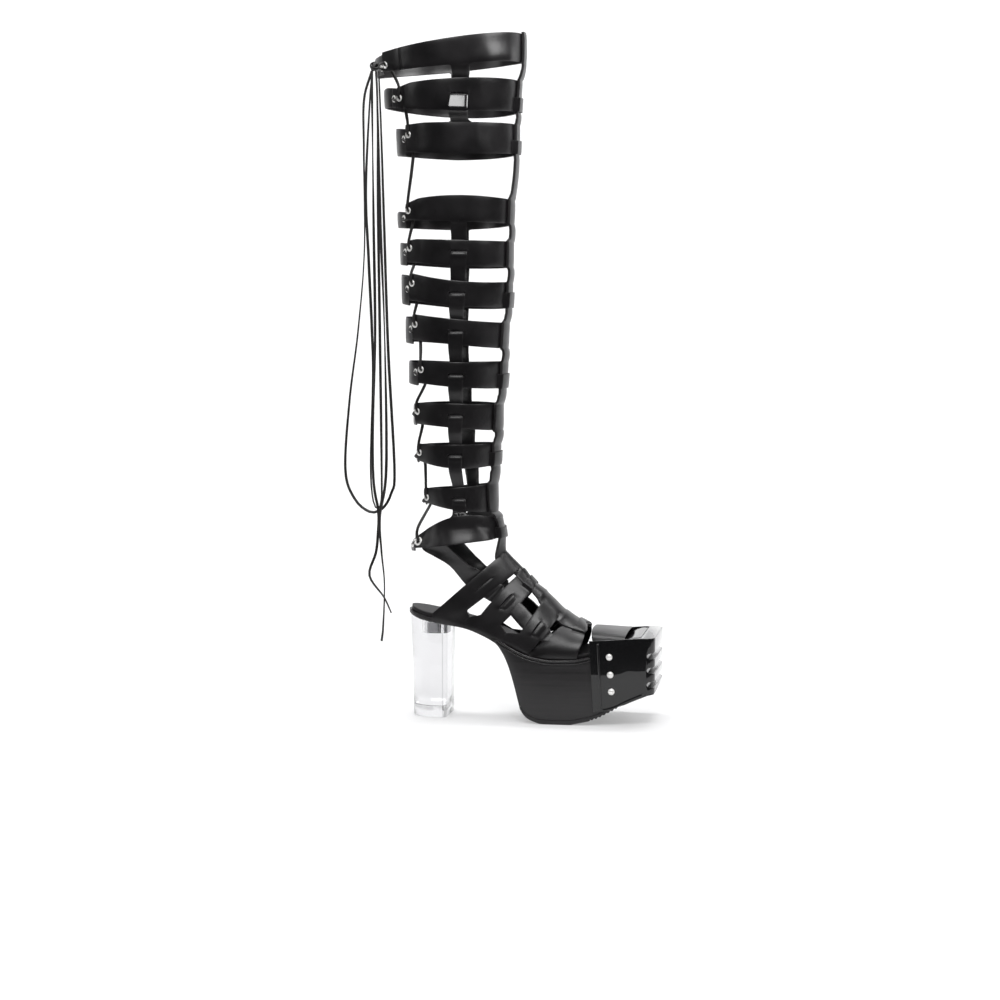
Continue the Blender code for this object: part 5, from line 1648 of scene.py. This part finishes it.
stations = loft_stations(SEAT_BACK + 2.9, PLATFORM_FRONT - 0.4)
finish_piece(make_loft("footbed", stations, insole_ring, footbed_cover), "footbed", "insole")
steps = (OUTSOLE_BACK, OUTSOLE_BACK + 0.02, OUTSOLE_FRONT - 0.02, OUTSOLE_FRONT)
stations = loft_stations(SEAT_BACK + 0.1, PLATFORM_FRONT, steps)
platform = make_loft("platform_body", stations, platform_ring, platform_cover)
lugs = [LUGS_FROM + LUG_PITCH / 2 * step for step in range(17)]
stations = loft_stations(OUTSOLE_BACK + 0.3, OUTSOLE_FRONT - 0.3, lugs)
finish_piece(make_loft("outsole_body", stations, outsole_ring, rubber), "rubber", "outsole")

# %% The beads round the edges
WELT_BEADS = ((0.3, 2.3), (3.6, 1.3))  # how far below the platform's top edge, and how wide
welt = []
for side, (down, wide) in [(side, bead) for bead in WELT_BEADS for side in (-1, 1)]:
    path = [
        Vector((x, side * (platform_half(x, side) + 0.1), platform_top(x) - down))
        for x in loft_stations(70.0, 171.0)
    ]
    name = f"welt_{len(welt)}"
    welt.append(make_sweep(name, path, oval(wide, wide, 10), footbed_gloss, start_side=(0, 0, 1)))
finish_piece(joined("platform_and_welt", [platform, *welt]), "platform_cover", "platform")

# %% [markdown]
# ## The toe guard and the toe strap
# The guard is a stiff glossy box round the front of the platform. It is cut out of a rounded block:
# hollow behind, with three grooves across the front whose ridges catch the light, and a raised bead a
# little way in from its rear and lower edges. Three nickel rivets hold it on each side.

# %% The guard
GUARD_FRONT, GUARD_BACK, GUARD_SIDE, GUARD_WALL = 236.8, 169.0, 44.6, 1.7
GROOVE_ROWS = ((71.6, 77.4), (56.8, 62.6), (42.0, 47.8))  # the ledge and the roof of each
GUARD_BEAD = (
    (178.3, 86.6), (179.6, 60.0), (181.0, 35.0), (182.0, 18.2), (184.5, 17.4), (195.0, 20.4),
    (206.0, 26.0), (218.0, 31.6), (226.0, 35.0),
)


def prism(name, outline, axis, low, high, materials=()):
    """A straight prism on an outline: in X and Y along Z, or in X and Z along Y."""
    rings = []
    for end in (low, high):
        rings.append([(x, other, end) if axis == "Z" else (x, end, other) for x, other in outline])
    return body_of_rings(name, rings, materials)


def box_plan(back, front, half, corner):
    """A rectangle seen from above, with its two front corners rounded."""
    toe = []
    for step in range(11):
        angle = math.radians(9 * step)
        toe.append((front - corner + corner * math.sin(angle), half - corner + corner * math.cos(angle)))
    return [(back, -half), *[(x, -y) for x, y in toe], *reversed(toe), (back, half)]


def guard_low(x):
    back = underside(GUARD_BACK) + 8.5
    part = min(1.0, (x - GUARD_BACK) / (OUTSOLE_FRONT - GUARD_BACK))
    return back + (underside(OUTSOLE_FRONT) - back) * part if part < 1 else underside(x)


def make_guard():
    block = box_plan(GUARD_BACK - 40, GUARD_FRONT, GUARD_SIDE, TOE_CORNER)
    guard = prism("guard_block", block, "Z", 0, 110, (patent,))
    sides = [(GUARD_BACK + 4.3, guard_low(GUARD_BACK + 4.3)), (190, guard_low(190))]
    sides += [(x, guard_low(x)) for x in (206, 212, 218, 224, 230, 236)]
    sides += [(GUARD_FRONT + 6, 93.2), (222, 93.0), (205, 91.8), (188, 90.2), (GUARD_BACK, 88.8)]
    cutters = [(prism("profile", sides, "Y", -80, 80), "INTERSECT")]
    half = GUARD_SIDE - GUARD_WALL
    inside = box_plan(GUARD_BACK - 60, PLATFORM_FRONT + 0.3, half, PLATFORM_CORNER)
    cutters.append((prism("hollow", inside, "Z", -20, 130), "DIFFERENCE"))
    for ledge, roof in GROOVE_ROWS:
        front, deep = GUARD_FRONT + 4, GUARD_FRONT - 8.0
        middle = (ledge + roof) / 2
        groove = [
            (deep + 1.2, ledge + 0.9), (front, ledge - 1.4), (front, roof + 1.4),
            (deep + 1.2, roof - 0.3), (deep + 0.3, middle + 1.2), (deep, middle + 0.3),
            (deep + 0.3, middle - 0.6),
        ]
        cutters.append((prism("groove", groove, "Y", -80, 80), "DIFFERENCE"))
    cut(guard, *cutters, rounding=(0.7 * MM, 3, 32.0))
    guard.data.set_sharp_from_angle(angle=math.radians(60))
    pieces = [guard]
    for number, side in enumerate((-1, 1), 1):
        y = side * (GUARD_SIDE + 0.15)
        path = smooth_path([(x, y, z) for x, z in GUARD_BEAD], 2.5)
        pieces.append(make_sweep(f"bead_{number}", path, oval(2.3, 2.3, 10), patent))
    return finish_piece(joined("toe_guard_shell", pieces), "patent", "toe_guard")


make_guard()


# %% The toe strap
TOE_STRAP_ROWS = ((174.5, 168.5, 98.4), (190.0, 187.0, 97.2), (205.0, 206.0, 95.8))


def make_toe_strap():
    points, wide = [], 37
    for part in (0.0, 0.04, 0.15, 0.3, 0.5, 0.7, 0.85, 0.96, 1.0):
        rim_x, crest_x, crest_z = (
            curve_at([(k / 2, row[column]) for k, row in enumerate(TOE_STRAP_ROWS)], part)
            for column in range(3)
        )
        rim_z = footbed(rim_x) + 0.4
        roll = 0.5 * math.exp(-min(part, 1 - part) / 0.04)
        for k in range(wide):
            rise = math.radians(180 * k / (wide - 1))
            up = math.sin(rise) ** 0.72
            lean = math.cos(rise)
            across = math.copysign(abs(lean) ** 0.72, lean)
            x = rim_x + (crest_x - rim_x) * up
            place = Vector((x, -39.6 * across, rim_z + (crest_z - rim_z) * up))
            outward = Vector((0.05, -across, 0.4 + up)).normalized()
            wave = waves(place, (0.5, 26.0, (0, 0, 0)), (0.2, 9.0, (0, 0, 0)))
            points.append(place + outward * (wave - roll))
    piece = make_sheet("toe_band", points, wound(points, grid_faces(points, wide), off_the_foot))
    return finish_piece(piece, "leather", "toe_strap")


make_toe_strap()

# %% [markdown]
# ## The clear heel
# A block of clear acrylic on a thin lift. A metal bushing and its screw go up into a round pocket under
# the seat, and show through the wall.

# %% The heel's outline
HEEL_ROWS = (
    (0, -24.0, 15.0, 23.5, 4.6), (40, -24.4, 15.3, 24.0, 4.8),
    (80, -26.0, 15.8, 25.5, 5.0), (105, -27.2, 16.4, 26.4, 5.4),
)


def heel_ring(height, inset=0.0, seat=False):
    """The heel's outline at a height: a round back and a straight breast with round corners."""
    back, breast, half, corner = (curve_at(HEEL_ROWS, height, column) for column in (1, 2, 3, 4))
    back, breast, half = back + inset, breast - inset, half - inset
    flank = back + half
    ring = []
    for step in range(37):
        angle = math.radians(180 * step / 36)
        ring.append((flank - half * math.sin(angle), half * math.cos(angle)))
    for side in (-1, 1):
        for step in range(7):
            turn = math.radians((-90 if side < 0 else 0) + 15 * step)
            x = breast - corner + corner * math.cos(turn)
            ring.append((x, side * (half - corner) + corner * math.sin(turn)))
    return [(x, y, underside(x) - 0.3 if seat else height) for x, y in ring]


# %% Heel block, lift and screw
BUSHING_X = -1.0


def turned(name, outline, material):
    """A profile of (radius, height) turned about the bushing's axis, as a closed body."""
    rings = []
    for radius, height in outline:
        rings.append([(radius * math.cos(a), radius * math.sin(a), height) for a in circle(40)])
    piece = body_of_rings(name, rings, (material,))
    piece.data.transform(Matrix.Translation((BUSHING_X * MM, 0, 0)))
    return piece


POCKET_RADIUS, POCKET_FLOOR, POCKET_TOP = 9.2, 88.2, 126.0
CLEAR = (clear_heel, clear_edge_painted_shade)
HEEL_PAINTED_SHADE_EDGES = (18, 19, 20, 21, 37, 42, 44, 45, 49)  # where the light is bent away: these strips get the darker tint, painted shade
lift_rings = [heel_ring(0.0, 0.7), heel_ring(0.7), heel_ring(11.9), heel_ring(12.5, 0.5)]
lift = body_of_rings("heel_lift_slab", lift_rings, CLEAR, HEEL_PAINTED_SHADE_EDGES)
finish_piece(lift, "clear_plastic", "heel_lift")
block_rings = [heel_ring(12.8, 0.5), heel_ring(13.4)]
block_rings += [heel_ring(height) for height in range(20, 96, 6)]
block_rings += [heel_ring(95.5), heel_ring(105.0, 0.0, True)]
block = body_of_rings("heel_block_clear", block_rings, CLEAR, HEEL_PAINTED_SHADE_EDGES)
pocket = turned("pocket", ((POCKET_RADIUS, POCKET_FLOOR), (POCKET_RADIUS, POCKET_TOP)), clear_heel)
cut(block, (pocket, "DIFFERENCE"))
block.data.set_sharp_from_angle(angle=SHARP)
finish_piece(block, "clear_plastic", "heel_block")
screw_outline = [(0.3, 88.6), (7.6, 88.6), (8.6, 89.4)]
for step in range(6):
    low = 89.6 + 1.6 * step
    screw_outline += [(8.6, low), (8.6, low + 0.7), (7.9, low + 1.0), (7.9, low + 1.3)]
screw_outline += [(8.6, 99.0), (8.6, 99.3), (0.3, 99.3)]
finish_piece(turned("heel_bushing", screw_outline, steel), "steel", "heel_screw")

# %% [markdown]
# ## Eyelets and rivets, repeated by Geometry Nodes
# Twenty-four eyelets and six rivets are the same few shapes set at many places. A cloud of points holds
# each place and the way it faces; a node tree turns every point into a copy. An eyelet is a rounded
# flange, a barrel through the leather and a clinched ring behind it; a rivet is a low dome on a washer.

# %% A tree that sets a ringed fitting on each point
def fitting_tree(name, rings, dome, material):
    """rings: (label, radius, width, height, shift) in millimetres. dome: (radius, height) or None."""
    tree = bpy.data.node_groups.new(name, "GeometryNodeTree")
    tree.interface.new_socket(name="Points", in_out="INPUT", socket_type="NodeSocketGeometry")
    for label, radius, wide, high, shift in rings:
        for part, value in (("radius", radius), ("width", wide), ("height", high), ("shift", shift)):
            socket = tree.interface.new_socket(
                name=f"{label} {part}", in_out="INPUT", socket_type="NodeSocketFloat"
            )
            socket.default_value = value * MM
    tree.interface.new_socket(name="Geometry", in_out="OUTPUT", socket_type="NodeSocketGeometry")
    inputs = tree.nodes.new("NodeGroupInput").outputs

    def step(kind, output, sources, **values):
        """The named output of one more node in the chain."""
        return linked(tree, kind, sources, **values).outputs[output]

    def attribute(name, kind):
        found = linked(tree, "GeometryNodeInputNamedAttribute", {}, Name=name)
        found.data_type = kind
        return found.outputs["Attribute"]

    shapes = tree.nodes.new("GeometryNodeJoinGeometry")
    for label, *_ in rings:
        radius = {"Radius": inputs[f"{label} radius"]}
        path = step("GeometryNodeCurvePrimitiveCircle", "Curve", radius, Resolution=28)
        outline = step("GeometryNodeCurvePrimitiveCircle", "Curve", {}, Resolution=12, Radius=0.5)
        sides = {"X": inputs[f"{label} width"], "Y": inputs[f"{label} height"]}
        size = step("ShaderNodeCombineXYZ", "Vector", sides, Z=1.0)
        scaled = step("GeometryNodeTransform", "Geometry", {"Geometry": outline, "Scale": size})
        swept = step("GeometryNodeCurveToMesh", "Mesh", {"Curve": path, "Profile Curve": scaled})
        up = step("ShaderNodeCombineXYZ", "Vector", {"Z": inputs[f"{label} shift"]})
        moved = step("GeometryNodeTransform", "Geometry", {"Geometry": swept, "Translation": up})
        tree.links.new(moved, shapes.inputs["Geometry"])
    if dome:
        radius, height = dome
        ball = step("GeometryNodeMeshUVSphere", "Mesh", {}, Segments=28, Rings=16, Radius=radius * MM)
        squash = (1, 1, height / radius)
        flat = step("GeometryNodeTransform", "Geometry", {"Geometry": ball}, Scale=squash)
        tree.links.new(flat, shapes.inputs["Geometry"])
    facing = {"Vector": attribute("facing", "FLOAT_VECTOR")}
    aim = linked(tree, "FunctionNodeAlignRotationToVector", facing)
    aim.axis = "Z"
    sources = {
        "Points": inputs["Points"], "Instance": shapes.outputs["Geometry"],
        "Rotation": aim.outputs["Rotation"], "Scale": attribute("size", "FLOAT"),
    }
    copies = step("GeometryNodeInstanceOnPoints", "Instances", sources)
    real = step("GeometryNodeRealizeInstances", "Geometry", {"Geometry": copies})
    paint = step("GeometryNodeSetMaterial", "Geometry", {"Geometry": real}, Material=material)
    linked(tree, "NodeGroupOutput", {"Geometry": paint})
    return tree


def set_fitting(name, tree, place, normal, size=1.0):
    """A mesh of one point that faces along the normal, with the tree's copy on it baked in."""
    piece = new_piece(name, (place,), ())
    facing = piece.data.attributes.new("facing", "FLOAT_VECTOR", "POINT")
    facing.data[0].vector = normal
    piece.data.attributes.new("size", "FLOAT", "POINT").data[0].value = size
    piece.modifiers.new("copies", "NODES").node_group = tree
    return baked(piece)


# %% The eyelets and rivets
EYELET_RINGS = (
    ("flange", 2.85, 1.5, 0.95, 0.35), ("barrel", 2.25, 0.3, 3.4, -0.8), ("clinch", 2.7, 1.1, 0.6, -1.9),
)
ANKLE_EYELET_SIZE = 1.3
RIVET_RINGS, RIVET_DOME = (("washer", 2.9, 1.0, 0.6, 0.25),), (2.95, 1.7)
RIVET_PLACES = ((190.1, 72.9), (191.3, 54.5), (192.5, 37.0))
eyelet_tree = fitting_tree("eyelets", EYELET_RINGS, None, nickel)
for number in BANDS:
    for side in ("outer", "inner"):
        size = ANKLE_EYELET_SIZE if number == 12 else 1.0
        name = f"eyelet_ring_{number:02d}_{side}"
        eyelet = set_fitting(name, eyelet_tree, *eyelet_place(number, side), size)
        finish_piece(eyelet, "nickel", f"eyelet_{number:02d}_{side}")
rivet_tree = fitting_tree("rivets", RIVET_RINGS, RIVET_DOME, nickel)
rivets = [(side, x, z) for side in (-1, 1) for x, z in RIVET_PLACES]
for number, (side, x, z) in enumerate(rivets, 1):
    place = (x, side * (GUARD_SIDE + 0.1), z)
    rivet = set_fitting(f"rivet_{number}", rivet_tree, place, (0, side, 0))
    finish_piece(rivet, "nickel", f"guard_rivet_{number}")

# %% [markdown]
# ## The lace between the eyelets
# From the knot the lace goes down the shaft in two strands. In every gap they cross, one over the
# other, and each goes in through one eyelet and out of the next.

# %% The crossing strands
def gap_places(number):
    """Where the lace leaves a band, behind the leather, and where it reaches the next from outside."""
    middle, normal = eyelet_place(number, "outer")
    low = edge_height(number, "low", band_value(number, "eyelet_turn"))
    leaves = middle - normal * 3.2 + Vector((3.0, 0.6, 1.5 + low - middle.z))
    middle, normal = eyelet_place(number + 1, "outer")
    top = edge_height(number + 1, "top", band_value(number + 1, "eyelet_turn"))
    return leaves, middle + normal * 1.5 + Vector((0.4, 0, 1.0 + top - middle.z))


BEHIND = Vector((-0.2, 0.98, 0))


def outer_strand():
    """In through each outer eyelet, down behind the leather, and over the next band's edge."""
    path = []
    for number in BANDS:
        middle, normal = eyelet_place(number, "outer")
        for up, lift in ((2.4, 1.3), (0.6, 0.2), (-0.6, -1.4), (-2.2, -2.6)):
            path.append(middle + normal * lift + Vector((0, 0, up)))
        if number < 12:
            path += gap_places(number)
    return path


def inner_strand():
    """Out through each inner eyelet, in between the band's ends, and down behind the other strand."""
    path = []
    for number in BANDS:
        middle, normal = eyelet_place(number, "inner")
        if number > 1:
            path += [middle - normal * 2.8 + Vector((0, 0, 2.6)), middle + Vector((0, 0, 0.5))]
        path.append(middle + normal * 1.4 - Vector((0, 0, 0.8)))
        between_ends = band_ends(number)[0] + degrees_for(BAND_OPENING / 2, number, middle.z)
        path.append(band_point(number, between_ends, middle.z - 2.0))
        if number < 12:
            leaves, reaches = gap_places(number)
            path += [leaves + BEHIND * 2.5, reaches + BEHIND * 5.0]
    return path


strands = []
for name, path in (("outer_strand", outer_strand()), ("inner_strand", inner_strand())):
    away = path[0] - KNOT_CENTRE
    path.insert(0, KNOT_CENTRE + away.normalized() * 3.0)
    strands.append(make_sweep(
        name, smooth_path(path, 2.0), oval(LACE_WIDE, 1.3, 10), lace_leather, start_side=(1, 0, 0),
        axis=(0.0, 260.0),
    ))
finish_piece(joined("lace_between_eyelets", strands), "lace_leather", "lace_crossings")
